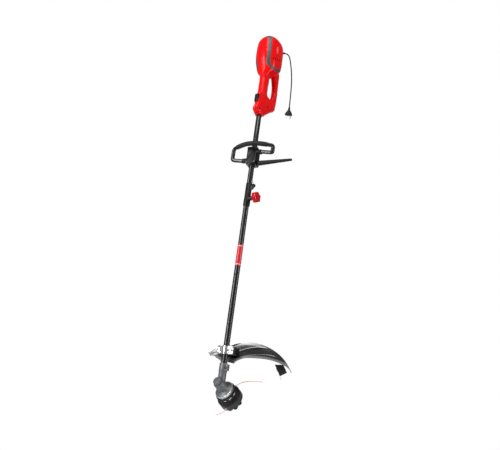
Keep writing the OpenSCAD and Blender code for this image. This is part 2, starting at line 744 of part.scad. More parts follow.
module head_housing() {
    color([0.08, 0.08, 0.08]) on_spindle() difference() {
        union() {
            translate([0, 0, head_top]) cylinder(h = ring_h, r = 43);
            translate([0, 0, head_bottom]) cylinder(h = head_h - 6, r = head_r);
            translate([0, 0, head_top - 6]) cylinder(h = 6, r1 = head_r, r2 = 44);
        }
        // Windows round the neck
        for (k = [0 : 9]) rotate(36 * k) translate([38, -8, head_top + 4]) cube([20, 16, ring_h - 8]);
        translate([0, 0, head_top + 2]) cylinder(h = ring_h - 4, r = 39);
        translate([0, 0, head_bottom - 1]) cylinder(h = head_h - 4, r = head_r - 3);
        translate([0, 0, head_bottom]) cylinder(h = 100, r = 5.3);
        for (a = [96, 276]) rotate(a) translate([0, 0, line_z]) along_x() cylinder(h = 80, r = 4.1, $fn = 32);
    }
}

module ring_core() {
    color([0.75, 0.75, 0.76]) on_spindle() translate([0, 0, head_top + 2.2]) ring(38.6, 5.2, ring_h - 4.4);
}

module line_eyelets() {
    color("silver") on_spindle() for (a = [96, 276]) rotate(a) translate([head_r - 4, 0, line_z]) along_x()
        difference() {
            union() {
                cylinder(h = 5.2, r = 4);
                translate([0, 0, 4.2]) cylinder(h = 1.4, r = 5.4);
            }
            translate([0, 0, -1]) cylinder(h = 10, r = line_d / 2 + 0.5, $fn = 24);
        }
}

// The two line ends trail in one curve from the eyelets; the second is worn shorter
line_route = [[-4.6, 44, 0], [-5, 52, 0], [-2, 60, 0], [5, 67, 0], [14, 73, 0], [26, 78.5, 0], [39, 82, 0],
    [53, 84.5, 0], [68, 86, 0], [84, 87, 0], [100, 87.4, 0], [116, 87.5, 0]];

module line_ends() {
    color([1, 0.55, 0.4]) on_spindle() translate([0, 0, line_z]) {
        sweep(line_route, [0, 0, 1], line_d / 2, line_d / 2, 8);
        rotate(180) sweep([for (i = [0 : 5]) line_route[i]], [0, 0, 1], line_d / 2, line_d / 2, 8);
    }
}

module bump_spool() {
    z1 = head_top - 12;
    color([0.1, 0.1, 0.1]) on_spindle() difference() {
        union() {
            translate([0, 0, z1 - 3]) cylinder(h = 3, r = head_r - 5);
            translate([0, 0, head_bottom + 3]) cylinder(h = 3, r = head_r - 5);
            translate([0, 0, head_bottom + 3]) cylinder(h = z1 - head_bottom - 3, r = 22);
            // Bump knob with lobes
            translate([0, 0, head_bottom - 4]) cylinder(h = 10, r = knob_r + 4);
            for (k = [0 : 7]) rotate(45 * k) translate([knob_r, 0, head_bottom - 20]) cylinder(h = 17, r = 9);
            translate([0, 0, head_bottom - 26]) cylinder(h = 22, r1 = knob_r - 12, r2 = knob_r + 2);
        }
        translate([0, 0, head_bottom + 1]) cylinder(h = 100, r = 9);
    }
    color([1, 0.55, 0.4]) on_spindle() translate([0, 0, head_bottom + 6.2])
        ring(head_r - 11, 22.2, z1 - head_bottom - 9.6);
}

module feed_spring() {
    color("silver") on_spindle() translate([0, 0, head_bottom + bump_travel + 2])
        ring(8, 6.4, head_h - bump_travel - 7);
}

// ---- Guard ----

module on_guard_shaft() { on_shaft() translate([0, 0, -head_drop]) rotate([0, 0, guard_turn]) children(); }
module on_guard() { on_guard_shaft() rotate([head_angle, 0, 0]) children(); }

rim_z = -66;
guard_profile = [[96, 19], [112, 22], [132, 19], [180, -6], [230, -36], [guard_r - 8, rim_z],
    [guard_r, rim_z - 8], [guard_r + 2, rim_z - skirt_h]];
// Seen along the spindle: wide on the left with the cutter, short on the right, hollowed towards the head
guard_plan = [[-26, 88], [26, 88], [60, 122], [105, 146], [180, 164], [226, 158], [guard_r - 30, 150],
    [guard_r + 90, 170], [guard_r, 400], [-guard_r, 400], [-guard_r - 40, 300], [-guard_r + 92, 214],
    [-guard_r + 120, 176], [-105, 140], [-60, 112]];

module guard_sheet() {
    n = len(guard_profile);
    intersection() {
        rotate(20) rotate_extrude(angle = 140, $fn = 96)
            polygon(concat(guard_profile, [for (i = [n - 1 : -1 : 0])
                let (p = guard_profile[i]) i == n - 1 ? [p[0] - guard_wall, p[1]]
                    : i > n - 3 ? [p[0] - guard_wall, p[1] - guard_wall] : [p[0], p[1] - guard_wall]]));
        translate([0, 0, -200]) linear_extrude(height = 400) polygon(guard_plan);
    }
}

module guard() {
    color([0.06, 0.06, 0.07]) difference() {
        union() {
            on_guard() guard_sheet();
            on_guard_shaft() translate([-guard_bolt_gap / 2 - 11, 0.5, guard_s - 17])
                cube([guard_bolt_gap + 22, 52, 34]);
        }
        on_guard_shaft() cylinder(h = head_drop, r = tube_r + 0.05);
        guard_bolt_places() cylinder(h = 100, r = 3.2, center = true, $fn = 32);
    }
}

module guard_bolt_places() {
    for (s = [-1, 1]) on_guard_shaft() translate([s * guard_bolt_gap / 2, 0, guard_s])
        rotate([90, 0, 0]) children();
}

module guard_clamp() {
    color([0.85, 0.85, 0.86]) difference() {
        on_guard_shaft() difference() {
            union() {
                translate([0, 0, guard_s - 16]) cylinder(h = 32, r = tube_r + 4);
                translate([-guard_bolt_gap / 2 - 11, -6, guard_s - 16]) cube([guard_bolt_gap + 22, 6, 32]);
            }
            cylinder(h = head_drop, r = tube_r + 0.05);
            translate([-far / 2, -0.2, 0]) cube([far, far, far]);
        }
        guard_bolt_places() cylinder(h = 100, r = 3.2, center = true, $fn = 32);
    }
}

module guard_bolts() {
    color([0.7, 0.7, 0.72]) guard_bolt_places() {
        translate([0, 0, -38]) cylinder(h = 44, r = 3, $fn = 32);
        translate([0, 0, 6.1]) cylinder(h = 5, r = 5.6, $fn = 6);
    }
}

// The line cutter hangs inside the guard's left front corner
cutter_angle = 53;
cutter_r = 244;

module cutter_block() {
    color([0.04, 0.04, 0.04]) on_guard() rotate(-cutter_angle) rotate([90, 0, 90])
        translate([0, 0, -15]) linear_extrude(height = 30)
            polygon([[cutter_r - 16, rim_z - 17], [cutter_r + 16, rim_z - 17], [cutter_r + 16, rim_z + 2],
                     [cutter_r, rim_z + 14.5], [cutter_r - 16, rim_z + 25.5]]);
}

module cutter_blade() {
    color([0.75, 0.75, 0.76]) on_guard() rotate(-cutter_angle)
        translate([-14, cutter_r - 16.1, rim_z - 62]) rotate([90, 0, 0]) linear_extrude(height = 1.6)
            polygon([[8, 0], [12, 1], [28, 42], [28, 66], [0, 66], [0, 42]]);
}

upper_tube();
shell_left();
shell_right();
motor_cover();
cover_band();
cover_badges();
stator();
brush_holders();
carbon_brushes();
motor_bearings();
bearing_plate();
switch_module();
trigger_pin();
trigger();
lock_button();
housing_screws();
cord_boot();
cord();
plug_body();
plug_pins();
upper_bushings();
drive_shaft_upper();
armature();
commutator();
fan();
shaft_socket();
coupler_body();
coupler_knob();
knob_screw();
release_pin();
handle_liner();
handle_clamp();
handle_clamp_cap();
clamp_bolts();
loop_bar();
loop_grip();
barrier_arm();
lower_tube();
spigot();
lower_bushings();
shaft_label();
gear_case();
rear_cap();
case_screws();
output_flange();
case_bearings();
guard();
guard_clamp();
guard_bolts();
cutter_block();
cutter_blade();
drive_shaft_lower();
bevel_pinion();
spindle_gear();
head_housing();
ring_core();
line_eyelets();
line_ends();
feed_spring();
bump_spool();
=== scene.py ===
import json
import math

import bmesh
import bpy
import numpy as np
from mathutils import Matrix, Vector


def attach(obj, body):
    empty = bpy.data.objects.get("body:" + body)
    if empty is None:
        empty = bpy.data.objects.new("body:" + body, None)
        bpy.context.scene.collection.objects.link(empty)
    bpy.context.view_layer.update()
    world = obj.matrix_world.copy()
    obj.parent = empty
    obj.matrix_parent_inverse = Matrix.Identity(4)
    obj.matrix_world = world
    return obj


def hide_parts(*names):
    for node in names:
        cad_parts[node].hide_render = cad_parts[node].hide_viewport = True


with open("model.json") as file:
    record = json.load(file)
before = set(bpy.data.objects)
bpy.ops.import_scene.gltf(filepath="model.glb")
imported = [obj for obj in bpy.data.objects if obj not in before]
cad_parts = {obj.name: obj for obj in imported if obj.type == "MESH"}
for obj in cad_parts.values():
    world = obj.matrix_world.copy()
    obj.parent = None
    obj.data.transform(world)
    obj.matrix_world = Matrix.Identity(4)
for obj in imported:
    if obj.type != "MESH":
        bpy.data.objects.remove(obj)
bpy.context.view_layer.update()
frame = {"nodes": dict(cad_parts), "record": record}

# ---- Camera, floor and studio lights ----
# The trimmer hangs upright before a plain white sweep and is seen from its left front, a little
# from below. A tall lamp on each side draws the long highlights on the tubes and the housing.
AZ, UP, ROLL = math.radians(50), math.radians(20.47), math.radians(7.757)
right = np.array([math.sin(AZ), math.cos(AZ), 0])
above = np.array([math.cos(AZ) * math.sin(UP), -math.sin(AZ) * math.sin(UP), math.cos(UP)])
back = np.array([math.cos(AZ) * math.cos(UP), -math.sin(AZ) * math.cos(UP), -math.sin(UP)])
cam_x = math.cos(ROLL) * right + math.sin(ROLL) * above
cam_y = math.cos(ROLL) * above - math.sin(ROLL) * right
turn = np.eye(4)
turn[:3, 0], turn[:3, 1], turn[:3, 2] = cam_x, cam_y, back
turn[:3, 3] = np.array([1.29705, -1.53384, -0.94099]) + 0.001 * cam_x
eye = bpy.data.cameras.new("camera")
eye.lens, eye.sensor_width, eye.clip_end = 34.99, 36, 50
camera = bpy.data.objects.new("camera", eye)
bpy.context.collection.objects.link(camera)
camera.matrix_world = Matrix(turn.tolist())
bpy.context.scene.camera = camera
bpy.context.scene.view_settings.view_transform = "Standard"


def softbox(name, azimuth, height, distance, wide, tall, power):
    """A rectangular lamp on a circle round the shaft, facing the shaft at its own height."""
    a = math.radians(azimuth)
    place = Vector((distance * math.cos(a), distance * math.sin(a), height))
    lamp = bpy.data.lights.new(name, "AREA")
    lamp.shape, lamp.size, lamp.size_y, lamp.energy = "RECTANGLE", wide, tall, power
    ob = bpy.data.objects.new(name, lamp)
    bpy.context.collection.objects.link(ob)
    ob.location = place
    ob.rotation_euler = (Vector((0, 0, height * 0.4)) - place).to_track_quat("-Z", "Y").to_euler()


softbox("lamp_left", -105, 0.1, 2.4, 0.45, 3.0, 62)
softbox("lamp_right", 12, 0.2, 2.6, 0.4, 2.8, 34)
softbox("lamp_back", 130, 0.0, 3.0, 2.2, 3.6, 55)
softbox("lamp_top", -60, 2.6, 1.6, 1.6, 1.6, 40)

sky = bpy.data.worlds.new("studio")
bpy.context.scene.world = sky
sky.use_nodes = True
wires = sky.node_tree
wires.nodes.clear()
seen, lit = wires.nodes.new("ShaderNodeBackground"), wires.nodes.new("ShaderNodeBackground")
seen.inputs[0].default_value, seen.inputs[1].default_value = (1, 1, 1, 1), 1.0
lit.inputs[0].default_value, lit.inputs[1].default_value = (0.95, 0.97, 1, 1), 0.2
way, both, world_out = (wires.nodes.new("ShaderNode" + k) for k in ("LightPath", "MixShader", "OutputWorld"))
wires.links.new(way.outputs["Is Camera Ray"], both.inputs[0])
wires.links.new(lit.outputs[0], both.inputs[1])
wires.links.new(seen.outputs[0], both.inputs[2])
wires.links.new(both.outputs[0], world_out.inputs[0])


class Level:
    """One number or colour socket of a finish. Plus, minus, times and over add Math nodes."""

    def __init__(self, tree, socket):
        self.tree, self.socket = tree, socket

    def _math(self, kind, first, second):
        n = self.tree.nodes.new("ShaderNodeMath")
        n.operation = kind
        for slot, value in zip(n.inputs, (first, second)):
            if isinstance(value, Level):
                self.tree.links.new(value.socket, slot)
            else:
                slot.default_value = value
        return Level(self.tree, n.outputs[0])

    def __add__(self, o): return self._math("ADD", self, o)
    def __radd__(self, o): return self._math("ADD", o, self)
    def __sub__(self, o): return self._math("SUBTRACT", self, o)
    def __rsub__(self, o): return self._math("SUBTRACT", o, self)
    def __mul__(self, o): return self._math("MULTIPLY", self, o)
    def __rmul__(self, o): return self._math("MULTIPLY", o, self)
    def __truediv__(self, o): return self._math("DIVIDE", self, o)
    def __rtruediv__(self, o): return self._math("DIVIDE", o, self)
    def over(self, o): return self._math("GREATER_THAN", self, o)
    def under(self, o): return self._math("LESS_THAN", self, o)
    def mod(self, o): return self._math("PINGPONG", self, o)
    def most(self, o): return self._math("MAXIMUM", self, o)


class Finish:
    """A surface finish: constants sit on the shader's own sockets, patterns come in by feed()."""

    def __init__(self, name, colour, rough, metal=0.0, **more):
        self.material = bpy.data.materials.new(name)
        self.material.use_nodes = True
        self.tree = self.material.node_tree
        self.shader = self.tree.nodes["Principled BSDF"]
        self.colour = (*colour, 1)
        for key, value in {"Base Color": self.colour, "Roughness": rough, "Metallic": metal, **more}.items():
            self.shader.inputs[key].default_value = value
        self.place = self.node("ShaderNodeTexCoord", {}, {}, "Object")

    def node(self, kind, settings, values, out=0):
        """Adds one node: settings first, then the values or links of its sockets."""
        n = self.tree.nodes.new(kind)
        for key, value in settings.items():
            if key == "stops":
                ramp = n.color_ramp.elements
                while len(ramp) < len(value):
                    ramp.new(0.5)
                for stop, (at, shade) in zip(ramp, value):
                    stop.position, stop.color = at, shade
            else:
                setattr(n, key, value)
        for key, value in values.items():
            if isinstance(value, Level):
                self.tree.links.new(value.socket, n.inputs[key])
            else:
                n.inputs[key].default_value = value
        return Level(self.tree, n.outputs[out])

    def grain(self, scale, detail=4.0, stretch=(1, 1, 1)):
        """Noise on the piece's own coordinates, metres times scale, stretched along its axes."""
        v = self.place
        if stretch != (1, 1, 1):
            v = self.node("ShaderNodeMapping", {}, {"Vector": self.place, "Scale": stretch})
        return self.node("ShaderNodeTexNoise", {}, {"Vector": v, "Scale": scale, "Detail": detail}, "Fac")

    def axis(self, name):
        """One Object coordinate in metres."""
        return self.node("ShaderNodeSeparateXYZ", {}, {"Vector": self.place}, name)

    def ease(self, value, low, high, a=0.0, b=1.0):
        """Smooth rise from a to b while value goes from low to high."""
        return self.node("ShaderNodeMapRange", {"interpolation_type": "SMOOTHSTEP"},
                         {"Value": value, "From Min": low, "From Max": high, "To Min": a, "To Max": b})

    def tint(self, mask, colour):
        """Puts another colour over the surface where mask is 1."""
        link = self.shader.inputs["Base Color"].links
        below = Level(self.tree, link[0].from_socket) if link else self.colour
        over = self.node("ShaderNodeMix", {"data_type": "RGBA"}, {0: mask, 6: below, 7: (*colour, 1)}, 2)
        self.tree.links.new(over.socket, self.shader.inputs["Base Color"])
        return self

    def feed(self, name, value):
        """Links a pattern to one of the shader's own sockets."""
        self.tree.links.new(value.socket, self.shader.inputs[name])
        return self

    def relief(self, height, depth, strength=1.0):
        """Bump: height 0 to 1 stands for depth metres."""
        up = self.node("ShaderNodeBump", {}, {"Height": height, "Distance": depth, "Strength": strength},
                       "Normal")
        return self.feed("Normal", up)


# The stage floor is a plain pale sheet well below the line head, out of the main camera's sight
FLOOR_HALF, FLOOR_Z = 1.5, -1.5
plain = bpy.data.meshes.new("studio_floor")
plain.from_pydata([(FLOOR_HALF * x, FLOOR_HALF * y, FLOOR_Z) for x, y in ((-1, -1), (1, -1), (1, 1), (-1, 1))],
                  [], [(0, 1, 2, 3)])
floor = bpy.data.objects.new("studio_floor", plain)
bpy.context.collection.objects.link(floor)
pale = Finish("pale_floor", (0.82, 0.82, 0.81), 0.7)
pale.feed("Roughness", pale.ease(pale.grain(12, 4), 0.3, 0.7, 0.62, 0.76))
plain.materials.append(pale.material)

# ---- Mains lead ----
# A short black rubber lead leaves the cover on the user's left through a ribbed strain relief,
# bends over under its own weight and hangs beside the housing with a two-pin plug at its end.
SHAFT = np.array([-0.026, 0.0, 0.0])


def closed_mesh(name, grid, finish, ends=True, smooth=True):
    """Grid of points (rows, around, 3) as a tube closed round the second index, with fan ends at
    the mean of the first and last ring."""
    rows, n = grid.shape[:2]
    pts = grid.reshape(-1, 3)
    j, i = np.meshgrid(np.arange(rows - 1), np.arange(n), indexing="ij")
    a, b = j * n + i, j * n + (i + 1) % n
    quads = np.stack([a, b, b + n, a + n], -1).reshape(-1, 4)
    faces = quads.tolist()
    if ends:
        pts = np.vstack([pts, grid[0].mean(0), grid[-1].mean(0)])
        k, m = np.arange(n), rows * n
        faces += np.stack([(k + 1) % n, k, np.full(n, m)], -1).tolist()
        faces += np.stack([k + m - n, (k + 1) % n + m - n, np.full(n, m + 1)], -1).tolist()
    return surface(name, pts, faces, finish, smooth)


def surface(name, pts, faces, finish, smooth=True):
    """A mesh object from points and faces, with outward normals and one finish."""
    mesh = bpy.data.meshes.new(name)
    mesh.from_pydata(np.asarray(pts, float).tolist(), [], faces)
    mesh.validate()
    ob = bpy.data.objects.new(name, mesh)
    bpy.context.collection.objects.link(ob)
    bm = bmesh.new()
    bm.from_mesh(mesh)
    bmesh.ops.remove_doubles(bm, verts=bm.verts, dist=1e-6)
    bmesh.ops.recalc_face_normals(bm, faces=bm.faces)
    bm.to_mesh(mesh)
    bm.free()
    mesh.shade_smooth() if smooth else None
    if finish:
        mesh.materials.append(finish.material)
    return ob


def edges(ob, width=0.0, angle=34.0, segments=2):
    """Rounds the sharp edges by width metres and splits the shading at what stays sharp."""
    if width:
        m = ob.modifiers.new("round", "BEVEL")
        m.width, m.segments, m.limit_method, m.angle_limit = width, segments, "ANGLE", math.radians(angle)
        m.use_clamp_overlap = True
    m = ob.modifiers.new("split", "EDGE_SPLIT")
    m.split_angle = math.radians(angle + 4)
    return ob


def wear(name, node):
    """The piece rides on its CAD node's own body."""
    body = next(b for b, nodes in frame["record"]["behaviour"]["bodies"].items() if node in nodes)
    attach(name, body)


def tube_rings(path, side, wide, deep, n, power=2.0):
    """Rings round each path point: half width wide along the side vector, half depth deep across
    it, as a superellipse of the given power."""
    p = np.asarray(path, float)
    t = np.gradient(p, axis=0)
    t /= np.linalg.norm(t, axis=1, keepdims=True)
    s = np.asarray(side, float)
    e = s - (t @ s)[:, None] * t
    e /= np.linalg.norm(e, axis=1, keepdims=True)
    f = np.cross(t, e)
    a = np.linspace(0, 2 * np.pi, n, endpoint=False)
    c, d = np.cos(a), np.sin(a)
    c, d = np.sign(c) * abs(c) ** (2 / power), np.sign(d) * abs(d) ** (2 / power)
    wide, deep = np.broadcast_to(wide, len(p)), np.broadcast_to(deep, len(p))
    return (p[:, None] + wide[:, None, None] * e[:, None] * c[None, :, None]
            + deep[:, None, None] * f[:, None] * d[None, :, None])


def curve_through(points, steps):
    """Catmull-Rom curve through the points, steps samples to each span."""
    p = np.asarray(points, float)
    q = np.vstack([2 * p[0] - p[1], p, 2 * p[-1] - p[-2]])
    t = np.linspace(0, 1, steps, endpoint=False)[:, None]
    a, b, c, d = q[:-3, None], q[1:-2, None], q[2:-1, None], q[3:, None]
    out = 0.5 * (2 * b + (c - a) * t + (2 * a - 5 * b + 4 * c - d) * t ** 2 + (3 * b - a - 3 * c + d) * t ** 3)
    return np.vstack([out.reshape(-1, p.shape[1]), p[-1]])


rubber = Finish("black_rubber_lead", (0.006, 0.006, 0.006), 0.5, **{"Specular IOR Level": 0.3})
fine = rubber.grain(900)
rubber.relief(fine, 0.00006).feed("Roughness", rubber.ease(rubber.grain(60), 0.3, 0.7, 0.42, 0.6))

LEAD_ROUTE = np.array([
    (96, 806), (101, 806.4), (106, 805.7), (110.7, 803.9), (115, 801.2), (118.6, 797.6), (121, 794.1),
    (122.6, 790.8), (123.8, 787), (127.4, 774), (132.8, 752), (138, 727), (142.5, 702), (146, 675),
    (148.8, 645), (150.6, 615), (151.6, 585), (152.2, 555), (152.5, 525), (152.8, 505), (153, 487)])
lead_at = np.column_stack([LEAD_ROUTE[:, 0] * 0.6 - 14.4, LEAD_ROUTE[:, 0] * 0.8 + 10.8,
                           LEAD_ROUTE[:, 1]]) / 1000 + SHAFT
lead = closed_mesh("mains_lead", tube_rings(lead_at, (-0.8, 0.6, 0), 0.003, 0.003, 20), rubber)
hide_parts("cord")
wear(lead, "cord")

lead_out = np.array([0.591, 0.788, 0.174])
lead_out /= np.linalg.norm(lead_out)
# Strain relief: a flange in the cover's wall, then rings that grow smaller towards the lead
s = np.linspace(0, 1, 90)
relief_r = (np.interp(s, [0, 0.1, 1], [7.0, 7.0, 4.1])
            - 0.75 * (np.sin(s * 6 * 2 * np.pi) > 0.1) * (s > 0.12) * (s < 0.93))
relief_r[0], relief_r[-1] = 6.6, 3.6
boot_path = lead_at[0] - lead_out * (0.020 * (1 - s))[:, None]
boot_path = np.vstack([boot_path[:1] - lead_out * 0.012, boot_path])
boot_r = np.append(6.6, relief_r) / 1000
boot = closed_mesh("lead_strain_relief", tube_rings(boot_path, (-0.8, 0.6, 0), boot_r, boot_r, 32), rubber)
edges(boot)
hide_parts("cord_boot")
wear(boot, "cord_boot")

# Plug: a moulded body that widens from the lead to the face with its two round pins
spin = math.radians(40.8)
plug_u, plug_v = np.array([math.cos(spin), math.sin(spin), 0]), np.array([-math.sin(spin), math.cos(spin), 0])
drop = np.array([0, 2, 5, 8, 11, 12.5, 16, 20, 25, 30, 35, 38, 42, 44, 44.9, 45])
half_w = np.array([4.4, 5.1, 5.2, 5.2, 5.2, 5.4, 7.2, 9.4, 12.4, 15.2, 17.8, 18.6, 18.8, 18.6, 17.8, 16.5])
half_t = np.array([4.4, 5.1, 5.2, 5.2, 5.2, 5.3, 5.6, 5.9, 6.3, 6.6, 6.75, 6.8, 6.8, 6.7, 6.0, 5.0])
fine_drop = np.linspace(0, 45, 91)
w_at, t_at = np.interp(fine_drop, drop, half_w), np.interp(fine_drop, drop, half_t)
ribs = 0.35 * (np.cos(fine_drop * 2 * np.pi / 4.0) > 0.2) * (fine_drop > 15) * (fine_drop < 38)
a = np.linspace(0, 2 * np.pi, 64, endpoint=False)
ca, sa = np.sign(np.cos(a)) * abs(np.cos(a)) ** 0.75, np.sign(np.sin(a)) * abs(np.sin(a)) ** 0.75
plug_grid = lead_at[-1] + (((w_at - ribs)[:, None] * ca)[..., None] * plug_u
                           + ((t_at - ribs)[:, None] * sa)[..., None] * plug_v
                           - fine_drop[:, None, None] * np.array([0, 0, 1.0])) / 1000
plug = closed_mesh("plug_body", plug_grid, rubber)
edges(plug, 0, 40)
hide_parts("plug_body")
wear(plug, "plug_body")

nickel = Finish("plated_pin", (0.72, 0.70, 0.66), 0.25, 1.0)
nickel.feed("Roughness", nickel.ease(nickel.grain(200, 4, (1, 1, 0.1)), 0.3, 0.7, 0.18, 0.36))
pin_s = np.array([0, 3, 6, 9, 12, 15, 16.5, 17.6, 18.5, 19.1, 19.4])
pin_r = np.array([2.4, 2.4, 2.4, 2.4, 2.4, 2.4, 2.35, 2.1, 1.6, 0.9, 0.1])
a24 = np.linspace(0, 2 * np.pi, 24, endpoint=False)
pin_parts = []
for side in (-1, 1):
    base = lead_at[-1] + side * 0.0095 * plug_u - np.array([0, 0, 0.044])
    g = base + np.stack([pin_r[:, None] * np.cos(a24), pin_r[:, None] * np.sin(a24),
                         -pin_s[:, None] * np.ones(24)], -1) / 1000
    pin_parts.append(closed_mesh("plug_pin_" + ("right" if side < 0 else "left"), g, nickel))
    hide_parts("plug_pins")
    wear(pin_parts[-1], "plug_pins")

# ---- Line ends ----
# Two ends of nylon line trail from the head's eyelets in the curve they keep from the spool. The
# line is extruded, slightly see-through and orange; the second end is worn shorter.
TILT = math.radians(60)
AXIS_FOOT = SHAFT + np.array([0, 0, -0.873])


def from_spindle(p):
    """Millimetres in the spindle's frame (Z up along the spindle) to metres in the row frame."""
    p = np.asarray(p, float) / 1000
    x, y, z = p[..., 0], p[..., 1], p[..., 2]
    return AXIS_FOOT + np.stack([x, y * math.cos(TILT) - z * math.sin(TILT),
                                 y * math.sin(TILT) + z * math.cos(TILT)], -1)


nylon = Finish("orange_nylon", (0.95, 0.42, 0.26), 0.32, **{"Transmission Weight": 0.25, "IOR": 1.53})
nylon.tint(nylon.ease(nylon.grain(300), 0.45, 0.7), (0.98, 0.58, 0.42))
LINE_Z = -81.0
LINE_ROUTE = np.array([(-4.6, 44), (-5, 52), (-2, 60), (5, 67), (14, 73), (26, 78.5), (39, 82), (53, 84.5),
                       (68, 86), (84, 87), (100, 87.4), (116, 87.5)])
for name, count, flip in (("line_end_long", 12, 1), ("line_end_short", 6, -1)):
    run = from_spindle(np.column_stack([flip * LINE_ROUTE[:count], np.full(count, LINE_Z)]))
    run = np.vstack([run[:1], curve_through(run, 3)[1:]])
    line = closed_mesh(name, tube_rings(run, (0, -0.866, 0.5), 0.0012, 0.0012, 12), nylon)
    wear(line, "line_ends")
    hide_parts("line_ends")

# ---- Rear housing ----
# Two glossy red moulded shells screwed together along the middle hold the motor, the switch and the
# grip. A third red cover closes the motor's back and side, and a dark band covers the joint.
SECTIONS = np.array([
    (384, 0, 18, 19.5, 2), (392, -3, 19, 31, 2.1), (402, -5, 20, 40, 2.2), (416, 3, 21, 46, 2.4),
    (432, 14, 21, 50, 2.6), (452, 24, 21, 60, 2.8), (476, 36, 21, 70, 2.8), (492, 30, 21, 64, 2.6),
    (505, 4, 21, 30, 2.4), (520, 2, 21, 25, 2.3), (596, 2, 21, 25, 2.3), (620, 4, 25, 29, 2.3),
    (638, 12, 40, 40, 2.4), (655, 19, 50, 51, 2.4), (678, 21, 56, 61, 2.4), (705, 20, 59, 68, 2.4),
    (740, 18, 60, 70, 2.4), (780, 18, 60, 70, 2.4), (808, 18, 57, 68, 2.4), (828, 17, 50, 60, 2.4),
    (842, 15, 38, 46, 2.3), (849, 13, 18, 24, 2.1)])
DOME_Z = 842


def eased(at, xs, ys):
    """Cubic through the table with slopes limited so that it never overshoots."""
    h, d = np.diff(xs), np.diff(ys) / np.diff(xs)
    m = np.zeros(len(xs))
    same = d[:-1] * d[1:] > 0
    m[1:-1][same] = 2 * d[:-1][same] * d[1:][same] / (d[:-1] + d[1:])[same]
    m[0], m[-1] = d[0], d[-1]
    k = np.clip(np.searchsorted(xs, at, side="right") - 1, 0, len(h) - 1)
    t = (at - xs[k]) / h[k]
    return (ys[k] * (1 + 2 * t) * (1 - t) ** 2 + ys[k + 1] * t * t * (3 - 2 * t)
            + h[k] * (m[k] * t * (1 - t) ** 2 - m[k + 1] * t * t * (1 - t)))


def housing_rings(inset, rows=150, n=112):
    """Superellipse rings of the housing at rising heights, taken in by inset millimetres."""
    z = np.linspace(SECTIONS[0, 0], SECTIONS[-1, 0], rows)
    z = np.unique(np.concatenate([z, SECTIONS[-1, 0] - np.geomspace(0.15, 12, 14)]))
    yc, wide, deep, power = (eased(z, SECTIONS[:, 0], SECTIONS[:, k]) for k in (1, 2, 3, 4))
    dome = z > DOME_Z
    wide[dome] = 38 * np.sqrt(np.clip(1 - ((z[dome] - DOME_Z) / 7.6) ** 2 * 0.93, 0, 1))
    deep[dome] = 46 * np.sqrt(np.clip(1 - ((z[dome] - DOME_Z) / 7.6) ** 2 * 0.93, 0, 1))
    if inset > 0:
        z = SECTIONS[0, 0] + inset + (z - SECTIONS[0, 0]) * (1 - 2 * inset / (SECTIONS[-1, 0] - SECTIONS[0, 0]))
    a = np.linspace(0, 2 * np.pi, n, endpoint=False)
    c, s = np.cos(a)[None], np.sin(a)[None]
    e = 2 / power[:, None]
    x = np.sign(c) * abs(c) ** e * (wide - inset)[:, None]
    y = yc[:, None] + np.sign(s) * abs(s) ** e * (deep - inset)[:, None]
    return np.stack([x, y, z[:, None] * np.ones_like(x)], -1) / 1000 + SHAFT


BAR = np.array([(62, 694, 22), (78, 691, 24), (84, 676, 26), (85, 656, 25), (89, 634, 20.5), (93, 606, 15.5),
                (94.5, 575, 13.8), (94, 545, 15), (90, 520, 19.5), (84, 498, 25), (76, 479, 28), (60, 464, 26)])


def bar_rings(inset):
    """The rear handle's outer bar: an oval swept down a smooth line from motor to lower block."""
    c = curve_through(BAR, 6)
    path = np.column_stack([np.zeros(len(c)), c[:, 0], c[:, 1]]) / 1000 + SHAFT
    return tube_rings(path, (1, 0, 0), (16 - inset) / 1000, (c[:, 2] - inset) / 1000, 40, 2.3)


COVER_LINE = np.array([(-38, 900), (-38, 800), (-37, 740), (-34, 702), (-30, 680), (-24, 665), (-14, 655),
                       (0, 651), (16, 652), (36, 658), (66, 677), (90, 699), (150, 757), (150, 900)], float)


def zone_outline(inset):
    """The band's middle line smoothed, then moved inwards: each point along its own normal."""
    c = np.vstack([COVER_LINE[:1], curve_through(COVER_LINE[1:-1], 8), COVER_LINE[-1:]])
    t = np.gradient(c, axis=0)
    t /= np.linalg.norm(t, axis=1, keepdims=True)
    c = c + inset * np.column_stack([-t[:, 1], t[:, 0]])
    c[0, 1], c[-1] = 900, (150 - inset, 900)
    return c


def slab(outline, x0, x1):
    """A (y, z) outline in millimetres drawn out along X between x0 and x1."""
    n = len(outline)
    pts = np.vstack([np.column_stack([np.full(n, x), outline]) for x in (x0, x1)]) / 1000 + SHAFT
    k = np.arange(n)
    sides = np.stack([k, (k + 1) % n, (k + 1) % n + n, k + n], -1).tolist()
    return surface("tool", pts, sides + [k[::-1].tolist(), (k + n).tolist()], None, False)


def capsule(y, z, wide, tall, x0, x1):
    """A slot outline with round ends, drawn out along X."""
    a = np.linspace(0, 2 * np.pi, 20, endpoint=False)
    r = min(wide, tall) / 2
    p = np.column_stack([y + r * np.cos(a) + np.sign(np.cos(a)) * max(wide / 2 - r, 0),
                         z + r * np.sin(a) + np.sign(np.sin(a)) * max(tall / 2 - r, 0)])
    return slab(p, x0, x1)


def stud(centre, direction, r, length, n=28):
    """A round cutter of radius r from centre along direction, in millimetres on the shaft."""
    d = np.asarray(direction, float)
    path = (np.asarray(centre, float) + np.outer([0, length], d)) / 1000 + SHAFT
    side = (0, 0, 1) if abs(d[2]) < 0.9 else (1, 0, 0)
    return closed_mesh("tool", tube_rings(path, side, r / 1000, r / 1000, n), None)


